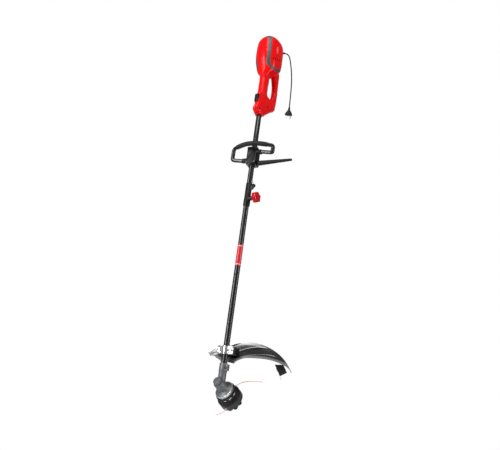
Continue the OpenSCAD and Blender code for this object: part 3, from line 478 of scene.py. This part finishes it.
def carve(name, base, steps, finish):
    """base joined with, cut by or kept inside each tool in turn, as one new mesh."""
    for kind, tool in steps:
        m = base.modifiers.new("carve", "BOOLEAN")
        m.operation, m.solver, m.object = kind, "MANIFOLD", tool
    made = bpy.data.meshes.new_from_object(base.evaluated_get(bpy.context.evaluated_depsgraph_get()))
    ob = bpy.data.objects.new(name, made)
    bpy.context.collection.objects.link(ob)
    made.materials.clear()
    if finish:
        made.materials.append(finish.material)
    made.shade_smooth()
    return ob


def drop_tools(tools):
    for t in tools:
        if t.name in bpy.data.objects:
            bpy.data.objects.remove(t)


# Moulded ABS: a soft gloss with very faint flow waves, dulled a little where hands hold it
red = Finish("red_gloss_abs", (0.92, 0.001, 0.002), 0.3,
             **{"Specular IOR Level": 0.16, "Coat Weight": 0.12, "Coat Roughness": 0.18})
handled = red.ease(red.axis("Z"), 0.50, 0.62, 1, 0) * red.ease(red.axis("Z"), 0.42, 0.50)
red.feed("Roughness", red.ease(red.grain(45, 6), 0.35, 0.75, 0.26, 0.36) + handled * 0.08)
red.tint(red.ease(red.grain(8), 0.35, 0.7) * 0.5, (0.78, 0.001, 0.003))
red.relief(red.grain(60, 2), 0.0001, 0.08)

outer, inner = closed_mesh("tool", housing_rings(0), None), closed_mesh("tool", housing_rings(3), None)
bar_out, bar_in = closed_mesh("tool", bar_rings(0), None), closed_mesh("tool", bar_rings(3), None)
zone_big, zone_small = slab(zone_outline(-5.2), -100, 100), slab(zone_outline(5.2), -100, 100)
whole = carve("whole", outer, [("UNION", bar_out)], None)
hollow = carve("hollow", inner, [("UNION", bar_in)], None)
SCREWS = [(-25, 404), (34, 447), (93, 540), (16, 520), (-13, 604)]
cuts = [stud((0, 0, 370), (0, 0, 1), 12.7, 66), stud((0, 0, 400), (0, 0, 1), 6.5, 300),
        slab(np.array([(7, 558), (80, 558), (47, 640), (7, 640)]), -7.4, 7.4),
        slab(np.array([(-60, 443.6), (-12, 443.6), (-12, 486.4), (-60, 486.4)]), -10.4, 10.4)]
cuts += [slab(np.array([(-90, z), (-30, z), (-30, z + 5), (-90, z + 5)]), x - 3, x + 3)
         for x in (-27, 27) for z in (748, 700, 688, 652)]
cuts += [stud((13, y, z), (1, 0, 0), 4.2, 40) for y, z in SCREWS]
half_left = slab(np.array([(-200, 300), (200, 300), (200, 1000), (-200, 1000)]), 0.25, 200)
half_right = slab(np.array([(-200, 300), (200, 300), (200, 1000), (-200, 1000)]), -200, -0.25)
tools = {outer, inner, bar_out, bar_in, zone_big, zone_small, whole, hollow, half_left, half_right, *cuts}
for name, half in (("shell_left", half_left), ("shell_right", half_right)):
    body = whole.copy()
    body.data = whole.data.copy()
    bpy.context.collection.objects.link(body)
    shell = carve("housing_" + name, body, [("DIFFERENCE", hollow), ("DIFFERENCE", zone_big)]
                  + [("DIFFERENCE", c) for c in cuts] + [("INTERSECT", half)], red)
    tools.add(body)
    edges(shell, 0, 36)
    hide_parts(name)
    wear(shell, name)

# The cover: same gloss, with two rows of slots and a hole for the lead
body = closed_mesh("tool", housing_rings(0), None)
core = closed_mesh("tool", housing_rings(3), None)
vents = [capsule(-7.5 + 14 * k, 805.5, 5, 11, -80, 80) for k in range(4)]
vents += [capsule(-13.5 + 14 * k, 695.5 + 5 * k, 5, 11, -80, 80) for k in range(4)]
hole = stud((lead_at[0] - SHAFT) * 1000 - 45 * lead_out, lead_out, 7.2, 60)
cover = carve("motor_back_cover", body, [("DIFFERENCE", core), ("INTERSECT", zone_small)]
              + [("DIFFERENCE", v) for v in vents] + [("DIFFERENCE", hole)], red)
edges(cover, 0, 36)
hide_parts("motor_cover")
wear(cover, "motor_cover")
tools |= {body, core, hole, *vents}

# Band: charcoal moulding, matt with a fine spark texture, standing just proud of the red
band_mat = Finish("charcoal_band", (0.07, 0.074, 0.077), 0.5)
band_mat.relief(band_mat.grain(1200, 2), 0.00008, 0.6)
band_mat.feed("Roughness", band_mat.ease(band_mat.grain(40), 0.3, 0.7, 0.36, 0.5))
b_out, b_in = closed_mesh("tool", housing_rings(-0.75), None), closed_mesh("tool", housing_rings(2.5), None)
z_out, z_in = slab(zone_outline(-5.9), -101, 101), slab(zone_outline(5.9), -102, 102)
keep = slab(np.array([(-150, 600), (250, 600), (250, 900), (-150, 900)]), -100, 100)
band = carve("cover_joint_band", b_out, [("DIFFERENCE", b_in), ("INTERSECT", z_out),
                                         ("DIFFERENCE", z_in), ("INTERSECT", keep)], band_mat)
edges(band, 0.0005, 40)
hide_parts("cover_band")
wear(band, "cover_band")
tools |= {b_out, b_in, z_out, z_in, keep}

# A low oval boss on each side of the cover, left blank, coloured a paler satin red as a painted highlight for
# the light on it
boss = Finish("pale_red_boss", (0.92, 0.11, 0.09), 0.4)
boss.relief(boss.grain(700, 2), 0.00005, 0.3)
boss.feed("Roughness", boss.ease(boss.grain(90), 0.3, 0.7, 0.34, 0.46))
for side, word in ((1, "left"), (-1, "right")):
    a = np.linspace(0, 2 * np.pi, 48, endpoint=False)
    rim = np.array([0, 0.35, 0.6, 0.8, 0.92, 1.0, 1.0])
    lift = np.array([1.5, 1.45, 1.3, 1.05, 0.7, 0.2, -1.0])
    y = 4 + 6.4 * rim[:, None] * np.sin(a)
    z = 757 + 22.8 * rim[:, None] * np.cos(a)
    yc, wide, deep, power = (eased(z.ravel(), SECTIONS[:, 0], SECTIONS[:, k]).reshape(z.shape)
                             for k in (1, 2, 3, 4))
    x = wide * (1 - abs((y - yc) / deep) ** power) ** (1 / power) + lift[:, None]
    oval = closed_mesh("cover_oval_" + word, np.stack([side * x, y, z], -1) / 1000 + SHAFT, boss)
    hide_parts("cover_badges")
    wear(oval, "cover_badges")
drop_tools(tools)


# ---- CAD pieces that keep their shape ----
# Pressed, turned and moulded parts whose shape is already right get their edges rounded and a
# finish of their own. Each list below is one trade: moulded nylon, turned steel, castings and so on.
def dress(names, finish, width=0.0004, angle=34.0):
    """Gives CAD pieces a finish, joins their loose faces and rounds their sharp edges."""
    for name in names:
        ob = frame["nodes"][name]
        ob.data.materials.clear()
        ob.data.materials.append(finish.material)
        ob.data.shade_smooth()
        m = ob.modifiers.new("join", "WELD")
        m.merge_threshold = 1e-6
        if width:
            m = ob.modifiers.new("flat", "DECIMATE")
            m.decimate_type, m.angle_limit = "DISSOLVE", math.radians(0.6)
        edges(ob, width, angle)


nylon_black = Finish("black_moulded_nylon", (0.005, 0.005, 0.0055), 0.34, **{"Specular IOR Level": 0.28})
nylon_black.relief(nylon_black.grain(1500, 2), 0.00008, 0.5)
nylon_black.feed("Roughness", nylon_black.ease(nylon_black.grain(70), 0.3, 0.7, 0.34, 0.5))
dress(["trigger", "lock_button", "switch_module", "bearing_plate", "fan", "handle_clamp", "handle_clamp_cap",
       "cutter_block"], nylon_black, 0.0008)
dress(["coupler_body"], nylon_black, 0.0006)

steel = Finish("turned_steel", (0.56, 0.56, 0.57), 0.3, 1.0)
steel.feed("Roughness", steel.ease(steel.grain(160, 5, (1, 1, 0.08)), 0.3, 0.7, 0.2, 0.42))
steel.relief(steel.grain(600, 2, (1, 1, 0.05)), 0.00004, 0.5)
dress(["trigger_pin", "drive_shaft_upper", "shaft_socket", "motor_bearings", "knob_screw", "spigot",
       "case_bearings", "drive_shaft_lower", "bevel_pinion", "spindle_gear", "feed_spring",
       "line_eyelets"], steel, 0.0002)
zinc = Finish("zinc_plated", (0.62, 0.62, 0.60), 0.34, 1.0)
zinc.tint(zinc.ease(zinc.grain(90), 0.45, 0.7) * 0.6, (0.50, 0.50, 0.47))
zinc.feed("Roughness", zinc.ease(zinc.grain(240), 0.3, 0.7, 0.26, 0.46))
dress(["release_pin", "guard_bolts"], zinc, 0.0003)
black_screw = Finish("blackened_steel", (0.10, 0.10, 0.105), 0.4, 0.9)
black_screw.feed("Roughness", black_screw.ease(black_screw.grain(300), 0.3, 0.7, 0.3, 0.5))
dress(["housing_screws", "case_screws", "clamp_bolts"], black_screw, 0.0003)

# Motor: varnished sheet packs, enamelled copper, brass brush boxes and carbon
sheets = Finish("lamination_pack", (0.27, 0.27, 0.28), 0.45, 0.8)
layer = sheets.axis("Z").mod(0.0005) * 2000
sheets.relief(layer, 0.0001).tint(layer.over(0.85) * 0.7, (0.10, 0.10, 0.10))
dress(["armature"], sheets, 0)
wound = Finish("stator_pack_and_winding", (0.27, 0.27, 0.28), 0.45, 0.8)
ends = wound.axis("Z").over(0.7683).most(wound.axis("Z").under(0.7057))
turns = wound.axis("Y").mod(0.0004) * 2500
wound.tint((wound.axis("Z").mod(0.0005) * 2000).over(0.85) * 0.7, (0.10, 0.10, 0.10))
wound.tint(ends, (0.52, 0.22, 0.07)).relief(turns * ends, 0.0002)
dress(["stator"], wound, 0)
bars = Finish("copper_bars", (0.70, 0.36, 0.17), 0.28, 1.0)
bars.tint(bars.ease(bars.grain(120, 4, (1, 1, 0.1)), 0.4, 0.7), (0.42, 0.22, 0.12))
dress(["commutator"], bars, 0)
brass = Finish("brass_sheet", (0.68, 0.47, 0.17), 0.3, 1.0)
brass.feed("Roughness", brass.ease(brass.grain(150), 0.3, 0.7, 0.22, 0.4))
dress(["brush_holders"], brass, 0.0003)
carbon = Finish("carbon_block", (0.035, 0.035, 0.037), 0.6)
carbon.relief(carbon.grain(900), 0.0001)
dress(["carbon_brushes"], carbon, 0.0003)
acetal = Finish("white_acetal", (0.74, 0.72, 0.66), 0.4, **{"Subsurface Weight": 0.1})
acetal.relief(acetal.grain(500), 0.00005)
dress(["upper_bushings", "lower_bushings"], acetal, 0.0003)

# ---- Shaft tubes ----
# Drawn steel tube, 25 mm, powder-coated satin black: a fine orange peel under a soft shine. The
# lower tube carries a plain red foil wrap near its middle.
coat = Finish("black_powder_coat", (0.005, 0.005, 0.0055), 0.26, **{"Coat Weight": 0.3, "Coat Roughness": 0.12})
coat.relief(coat.grain(700, 2), 0.00006, 0.12)
coat.feed("Roughness", coat.ease(coat.grain(30, 5), 0.3, 0.75, 0.22, 0.36))


def turned(name, profile, finish, node, n=96):
    """A ring profile (radius, height) in millimetres turned about the shaft axis; closed on itself
    when it starts and ends at the same point."""
    p = np.asarray(profile, float)
    a = np.linspace(0, 2 * np.pi, n, endpoint=False)
    g = np.stack([p[:, :1] * np.cos(a), p[:, :1] * np.sin(a), p[:, 1:] * np.ones(n)], -1) / 1000 + SHAFT
    ob = closed_mesh(name, g, finish, ends=False)
    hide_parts(node)
    wear(ob, node)
    return edges(ob, 0, 40)


def pipe_profile(low, high, r, r_in, lip=0.5):
    """Outer wall up, over the lip, inner wall down and back to the start."""
    return [(r - lip, low), (r, low + lip), (r, high - lip), (r - lip, high), (r_in, high), (r_in, low),
            (r - lip, low)]


TUBE_R, TUBE_IN = 12.5, 11
turned("lower_shaft_tube", pipe_profile(-847, -67, TUBE_R, TUBE_IN), coat, "lower_tube")
dress(["upper_tube"], coat, 0.0003)
sleeve = Finish("soft_black_sleeve", (0.012, 0.012, 0.012), 0.6)
sleeve.relief(sleeve.grain(900), 0.00008)
turned("handle_liner_sleeve", pipe_profile(103, 203, TUBE_R + 2.4, TUBE_R + 0.08, 0.8), sleeve, "handle_liner")

foil = Finish("red_foil_wrap", (0.62, 0.012, 0.02), 0.3, **{"Coat Weight": 0.4, "Coat Roughness": 0.08})
zf = foil.axis("Z")
lines = (zf.over(-0.2915) * zf.under(-0.2895)) + (zf.over(-0.3745) * zf.under(-0.3725))
foil.tint(lines, (0.85, 0.82, 0.78))
foil.feed("Roughness", foil.ease(foil.grain(80), 0.3, 0.7, 0.22, 0.36))
turned("shaft_foil", pipe_profile(-380, -284, TUBE_R + 0.5, TUBE_R + 0.03, 0.1), foil, "shaft_label")

# ---- Coupler knob ----
# A six-lobed clamping knob in gloss red nylon, moulded round a steel screw. It stands on the left
# of the coupler and is domed at its face.
knob_red = Finish("knob_red_gloss", (0.56, 0.001, 0.006), 0.16,
                  **{"Specular IOR Level": 0.15, "Coat Weight": 0.4, "Coat Roughness": 0.05})
knob_red.relief(knob_red.grain(220, 2), 0.0001, 0.08)
knob_red.feed("Roughness", knob_red.ease(knob_red.grain(60), 0.35, 0.7, 0.1, 0.22))


def lobed(steps, lobes, depth, n=144):
    """Rings (height, radius, share of lobing): r = radius * (1 - depth*share*(1 - bump(angle))),
    where bump is a rounded cosine with one crest to each lobe."""
    s = np.asarray(steps, float)
    a = np.linspace(0, 2 * np.pi, n, endpoint=False)
    crest = (0.5 + 0.5 * np.cos(lobes * a)) ** 0.62
    r = s[:, 1:2] * (1 - depth * s[:, 2:3] * (1 - crest))
    return np.stack([r * np.cos(a), r * np.sin(a), s[:, :1] * np.ones(n)], -1)


def soft_steps(table, k=5):
    """The table's rows joined by eased cubics, k rows to a step."""
    t = np.asarray(table, float)
    u = np.arange(len(t), dtype=float)
    at = np.linspace(0, len(t) - 1, (len(t) - 1) * k + 1)
    return np.column_stack([eased(at, u, t[:, c]) for c in range(t.shape[1])])


knob_rows = soft_steps([(0, 4.3, 0), (0, 11.4, 0), (0.4, 12, 0), (3.6, 12, 0), (4.6, 13.5, 0.1),
                        (5.0, 21.5, 0.7), (6.2, 25.2, 1), (9, 26, 1), (19, 26, 1), (22.6, 25, 1),
                        (25, 21.5, 0.8), (27, 15, 0.4), (27.9, 7, 0.1), (28, 0.6, 0)])
g = lobed(knob_rows, 6, 0.19)
knob_at = SHAFT * 1000 + np.array([35.5, 0, -62])
g = (knob_at + np.stack([g[..., 2], g[..., 1], g[..., 0]], -1)) / 1000
knob = closed_mesh("coupler_knob_head", g, knob_red)
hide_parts("coupler_knob")
wear(knob, "coupler_knob")

# ---- Loop handle ----
# Steel bar bent into a D, powder-coated, both ends held in the clamp block. A ribbed rubber sleeve
# covers the bowed top, and a tapered moulded arm keeps the user's leg back.
swing = math.radians(15)
LOOP_Z = 0.153


def from_loop(p):
    """Millimetres in the loop handle's frame to metres in the row frame."""
    p = np.asarray(p, float) / 1000
    x, y, z = p[..., 0], p[..., 1], p[..., 2]
    return SHAFT + np.stack([x * math.cos(swing) - y * math.sin(swing),
                             x * math.sin(swing) + y * math.cos(swing), z + LOOP_Z], -1)


def bow(x):
    """Forward bow of the grip: 37 mm at the middle, none at the sides."""
    return -12 - 37 * np.cos(np.radians(90 * np.asarray(x, float) / 100))


def bend(a, b, c, r, k=10):
    """Corner of a path rounded from a past b to c, a quadratic arc of reach r."""
    a, b, c = (np.asarray(v, float) for v in (a, b, c))
    u, v = (a - b) / np.linalg.norm(a - b), (c - b) / np.linalg.norm(c - b)
    t = np.linspace(0, 1, k + 1)[:, None]
    return b + u * r * (1 - t) ** 2 + v * r * t ** 2


top = 46
xs = np.linspace(-65, 65, 27)
loop_path = np.vstack([
    [(-24, -12, -23), (-47, -12, -23)], bend((-60, -12, -21), (-100, -12, -14), (-100, -12, 40), 12),
    bend((-100, -12, 20), (-100, -12, top), (-70, float(bow(-70)), top), 16),
    np.column_stack([xs, bow(xs), np.full(27, top)]),
    bend((70, float(bow(70)), top), (100, -12, top), (100, -12, 20), 12),
    bend((100, -12, 40), (100, -12, 9), (60, -12, 16), 10), [(47, -12, 18), (24, -12, 18)]])
loop = closed_mesh("loop_bar_bent", from_loop(tube_rings(loop_path, (0, 1, 0.01), 9.45, 9.45, 32)), coat)
edges(loop, 0, 50)
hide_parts("loop_bar")
wear(loop, "loop_bar")

grip_mat = Finish("grip_rubber", (0.013, 0.013, 0.0135), 0.5, **{"Specular IOR Level": 0.35})
grip_mat.relief(grip_mat.grain(1100), 0.0001)
grip_mat.feed("Roughness", grip_mat.ease(grip_mat.grain(50), 0.3, 0.7, 0.5, 0.66))
gx = np.linspace(-75, 75, 301)
ridge = 10.6 + 0.8 * (np.cos(gx * 2 * np.pi / 6) > -0.15) * (abs(gx) < 66)
ridge = np.convolve(np.pad(ridge, 2, mode="edge"), np.ones(5) / 5, "valid")
ridge[abs(gx) > 70] = 11.4
grip = closed_mesh("loop_grip_sleeve", from_loop(tube_rings(np.column_stack([gx, bow(gx), np.full(301, top)]),
                   (0, 1, 0), ridge, ridge, 36)), grip_mat)
edges(grip, 0.0004, 50)
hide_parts("loop_grip")
wear(grip, "loop_grip")

# The barrier arm narrows outwards and ends in a round tip
ARM_TIP = 188
ax = np.concatenate([[23.0, 23.05, 24, 27, 30], np.linspace(36, 184, 40),
                     ARM_TIP + 5.8 * np.sin(np.linspace(0, 1.5, 9))])
run = np.clip((ax - 23) / 165, 0, 1)
arm_r = 12.3 - 6.4 * run
tip = ax > ARM_TIP
arm_r[tip] = 5.9 * np.sqrt(np.clip(1 - ((ax[tip] - ARM_TIP) / 6.0) ** 2, 0.002, 1))
arm_r[0] = 11.6
arm = closed_mesh("barrier_arm_taper", from_loop(tube_rings(
    np.column_stack([ax, np.full(len(ax), 4.0), -32 + 5 * run]), (0, 1, 0), arm_r, arm_r, 40)), nylon_black)
edges(arm, 0, 50)
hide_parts("barrier_arm")
wear(arm, "barrier_arm")

# ---- Gearbox ----
# A zinc casting clamped on the tube, its end cap and a turned alloy flange under it. The casting is
# tumbled: a light pitting, darker in random patches; the flange keeps its turning marks.
cast = Finish("tumbled_casting", (0.17, 0.174, 0.18), 0.48, 0.6)
pits = cast.grain(420, 6)
cast.relief(pits, 0.0002, 0.3).tint(cast.ease(cast.grain(35, 6), 0.5, 0.75) * 0.6, (0.10, 0.10, 0.105))
cast.feed("Roughness", cast.ease(pits, 0.3, 0.7, 0.38, 0.6))
dress(["gear_case", "rear_cap"], cast, 0.0007)
alloy = Finish("machined_alloy", (0.62, 0.625, 0.63), 0.3, 0.9)
alloy.feed("Roughness", alloy.ease(alloy.grain(300, 3, (0.3, 1, 1)), 0.3, 0.7, 0.18, 0.38))
alloy.relief(alloy.grain(500, 2, (1, 0.1, 0.1)), 0.00004, 0.5)
dress(["output_flange", "guard_clamp"], alloy, 0.0007)
core = Finish("bright_core", (0.9, 0.9, 0.88), 0.45, 0.1)
core.feed("Roughness", core.ease(core.grain(200), 0.3, 0.7, 0.3, 0.5))
dress(["ring_core"], core, 0.0005)

# ---- Line head ----
# Glass-filled nylon housing with windows round its neck, and a bump knob underneath with eight
# finger lobes that the user taps on the ground to feed line.
head_mat = Finish("glass_filled_nylon", (0.005, 0.005, 0.0055), 0.34, **{"Specular IOR Level": 0.3})
head_mat.relief(head_mat.grain(800, 4), 0.00012, 0.2)
along = ((head_mat.axis("Z") - float(AXIS_FOOT[2])) * math.cos(TILT)
         - (head_mat.axis("Y") - float(AXIS_FOOT[1])) * math.sin(TILT))
head_mat.tint(along.under(-0.0705) * along.over(-0.0935), (0.045, 0.046, 0.048))
head_mat.tint(head_mat.ease(head_mat.grain(25, 6), 0.5, 0.8) * 0.3, (0.06, 0.06, 0.058))
head_mat.feed("Roughness", head_mat.ease(head_mat.grain(70), 0.3, 0.7, 0.36, 0.56))
dress(["head_housing"], head_mat, 0.0007)
bump_rows = soft_steps([(-97, 21, 0), (-97.0, 34, 0), (-97.6, 35, 0.1), (-99, 38.5, 0.8), (-101, 39.8, 1),
                        (-108, 39.9, 1),
                        (-112, 38.6, 1), (-113, 35, 0.9), (-114, 29.5, 0.4), (-116.5, 24, 0.1), (-118.6, 16, 0),
                        (-119, 6, 0), (-119, 0.4, 0)])
bump = closed_mesh("bump_knob_lobed", from_spindle(lobed(bump_rows, 8, 0.22)), head_mat)
a = np.linspace(0, 2 * np.pi, 96, endpoint=False)
spool_profile = np.array([(9, -92), (44, -92), (44, -90), (44, -87), (22, -86.9), (22, -71.1), (44, -71),
                          (44, -68),
                          (9, -68), (9, -92)], float)
sg = np.stack([spool_profile[:, :1] * np.cos(a), spool_profile[:, :1] * np.sin(a),
               spool_profile[:, 1:] * np.ones(96)], -1)
spool = closed_mesh("line_spool", from_spindle(sg), head_mat, ends=False)
edges(spool, 0, 40)
th = np.linspace(0, 2 * np.pi, 96, endpoint=False)
wind_z = np.linspace(-86.8, -71.4, 53)
wind_r = 37 + 0.9 * abs(np.sin((wind_z + 86.8) * math.pi / 2.2))
wg = np.concatenate([[22.2], wind_r, [22.2]])
wz = np.concatenate([[-86.8], wind_z, [-71.4]])
wound_grid = np.stack([wg[:, None] * np.cos(th), wg[:, None] * np.sin(th), wz[:, None] * np.ones(96)], -1)
wound_line = closed_mesh("wound_line", from_spindle(wound_grid), nylon, ends=False)
for piece in (bump, spool, wound_line):
    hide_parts("bump_spool")
    wear(piece, "bump_spool")

# ---- Guard ----
# A half-round deflector blow-moulded in gloss black plastic, bolted to the tube by an alloy strap.
# Swept ribs stiffen its top; its rim turns down in a skirt that carries the line cutter.
guard_turn = math.radians(12)


def from_guard(p):
    """Millimetres in the guard's frame (Z along the spindle) to metres in the row frame."""
    p = np.asarray(p, float) / 1000
    x, y, z = p[..., 0], p[..., 1], p[..., 2]
    x, y, z = x, y * math.cos(TILT) - z * math.sin(TILT), y * math.sin(TILT) + z * math.cos(TILT)
    return AXIS_FOOT + np.stack([x * math.cos(guard_turn) - y * math.sin(guard_turn),
                                 x * math.sin(guard_turn) + y * math.cos(guard_turn), z], -1)


gloss = Finish("guard_gloss_black", (0.006, 0.006, 0.0065), 0.16,
               **{"Coat Weight": 0.4, "Coat Roughness": 0.05})
# Painted sheen: along its front edge the black guard is tinted mid-grey and made rougher, standing in for the
# light on its skirt
painted_edge_sheen = gloss.node("ShaderNodeAttribute", {"attribute_name": "front"}, {}, "Fac")
gloss.feed("Roughness", gloss.ease(gloss.grain(14, 6), 0.4, 0.75, 0.22, 0.34) + painted_edge_sheen * 0.2)
gloss.tint(painted_edge_sheen, (0.2, 0.2, 0.205))
# Painted highlight: the guard's far end, beyond about 0.16 m on -X, is painted light grey for its lit top
gloss.tint(gloss.ease(0 - gloss.axis("X"), 0.15, 0.17), (0.34, 0.345, 0.35))
gloss.relief(gloss.grain(40, 2), 0.00015, 0.1)
FRONT = np.array([(35.2, 275.5), (42.3, 243.5), (54.3, 179.8), (63.8, 136), (73.5, 97), (90, 97), (106.5, 97),
                  (118.2, 127), (126.9, 175), (131.0, 262)])
PROFILE = np.array([(96, 19), (112, 22), (132, 19), (180, -6), (230, -36), (268, -66)], float)
theta = np.linspace(35.2, 131, 180)
start = np.interp(theta, FRONT[:, 0], FRONT[:, 1])
arc = np.linspace(0, 1, 60)[None]
r_top = start[:, None] + (268 - start[:, None]).clip(0) * arc
z_top = eased(r_top.ravel(), PROFILE[:, 0], PROFILE[:, 1]).reshape(r_top.shape)
turn_r = np.array([269.8, 271.6, 272.8, 273.6, 274.1, 274.5, 274.8, 275.0, 275.2, 275.4])
turn_z = np.array([-67.6, -69.4, -71.6, -74.0, -78.0, -84.0, -90.0, -95.0, -99.0, -101.5])
r_all = np.hstack([r_top, np.broadcast_to(turn_r, (180, 10))])
z_all = np.hstack([z_top, np.broadcast_to(turn_z, (180, 10))])
th = np.radians(theta)[:, None]
swirl = np.degrees(th) + (r_all - 100) * 0.16
fade = np.clip((r_all - 120) / 30, 0, 1) * np.clip((262 - r_all) / 25, 0, 1)
for centre in (72.0, 92.0, 120.0, 146.0):
    z_all = z_all + 3.2 * np.exp(-((swirl - centre) / 2.6) ** 4) * fade
sheet_pts = from_guard(np.stack([r_all * np.cos(th), r_all * np.sin(th), z_all], -1))
rows, cols = sheet_pts.shape[:2]
j, i = np.meshgrid(np.arange(rows - 1), np.arange(cols - 1), indexing="ij")
k = j * cols + i
quads = np.stack([k, k + 1, k + 1 + cols, k + cols], -1).reshape(-1, 4).tolist()
sheet = surface("guard_sheet", sheet_pts.reshape(-1, 3), quads, gloss)
spots = np.empty(len(sheet.data.vertices) * 3)
sheet.data.vertices.foreach_get("co", spots)
spots = spots.reshape(-1, 3) - AXIS_FOOT
across = np.array([math.cos(guard_turn), math.sin(guard_turn), 0])
outward = np.array([-math.sin(guard_turn) * 0.5, math.cos(guard_turn) * 0.5, 0.8660254])
flat = np.stack([spots @ across, spots @ outward], -1) * 1000
# Share of the painted edge sheen: full up to 9 mm past the front edge, gone by 27 mm
edge_r = np.interp(np.degrees(np.arctan2(flat[:, 1], flat[:, 0])), FRONT[:, 0], FRONT[:, 1])
edge_sheen_share = np.clip(1.5 - (np.linalg.norm(flat, axis=1) - edge_r) / 18, 0, 1).astype(np.float32)
sheet.data.attributes.new("front", "FLOAT", "POINT").data.foreach_set("value", edge_sheen_share)
m = sheet.modifiers.new("wall", "SOLIDIFY")
m.thickness, m.offset = 0.003, -1
edges(sheet, 0.0007, 50)
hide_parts("guard")
wear(sheet, "guard")


def block(name, low, high, place, finish, node, width):
    """A moulded block between two corners in the guard shaft's frame, hollowed round the tube."""
    x0, y0, z0 = low
    x1, y1, z1 = high
    a = np.linspace(math.asin(0.5 / 12.6), math.pi - math.asin(0.5 / 12.6), 25)
    arch = np.column_stack([12.6 * np.cos(a), 12.6 * np.sin(a)])[::-1]
    out = np.vstack([[(x0, y0)], arch, [(x1, y0), (x1, y1), (x0, y1)]])
    n = len(out)
    pts = np.vstack([np.column_stack([out, np.full(n, z)]) for z in (z0, z1)])
    q = np.arange(n)
    sides = np.stack([q, (q + 1) % n, (q + 1) % n + n, q + n], -1).tolist()
    ob = surface(name, place(pts), sides + [q[::-1].tolist(), (q + n).tolist()], finish, True)
    edges(ob, width, 50)
    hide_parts(node)
    wear(ob, node)
    return ob


def from_guard_shaft(p):
    """Millimetres on the shaft above the gearbox, turned with the guard, to the row frame."""
    p = np.asarray(p, float) / 1000
    x, y, z = p[..., 0], p[..., 1], p[..., 2]
    return AXIS_FOOT + np.stack([x * math.cos(guard_turn) - y * math.sin(guard_turn),
                                 x * math.sin(guard_turn) + y * math.cos(guard_turn), z], -1)


block("guard_mounting_block", (-37, 0.5, 121), (37, 50, 155), from_guard_shaft, gloss, "guard", 0.003)

blade = Finish("spring_steel_blade", (0.66, 0.66, 0.67), 0.22, 1.0)
blade.feed("Roughness", blade.ease(blade.grain(200, 4, (1, 0.1, 1)), 0.3, 0.7, 0.14, 0.32))
dress(["cutter_blade"], blade, 0.0002)
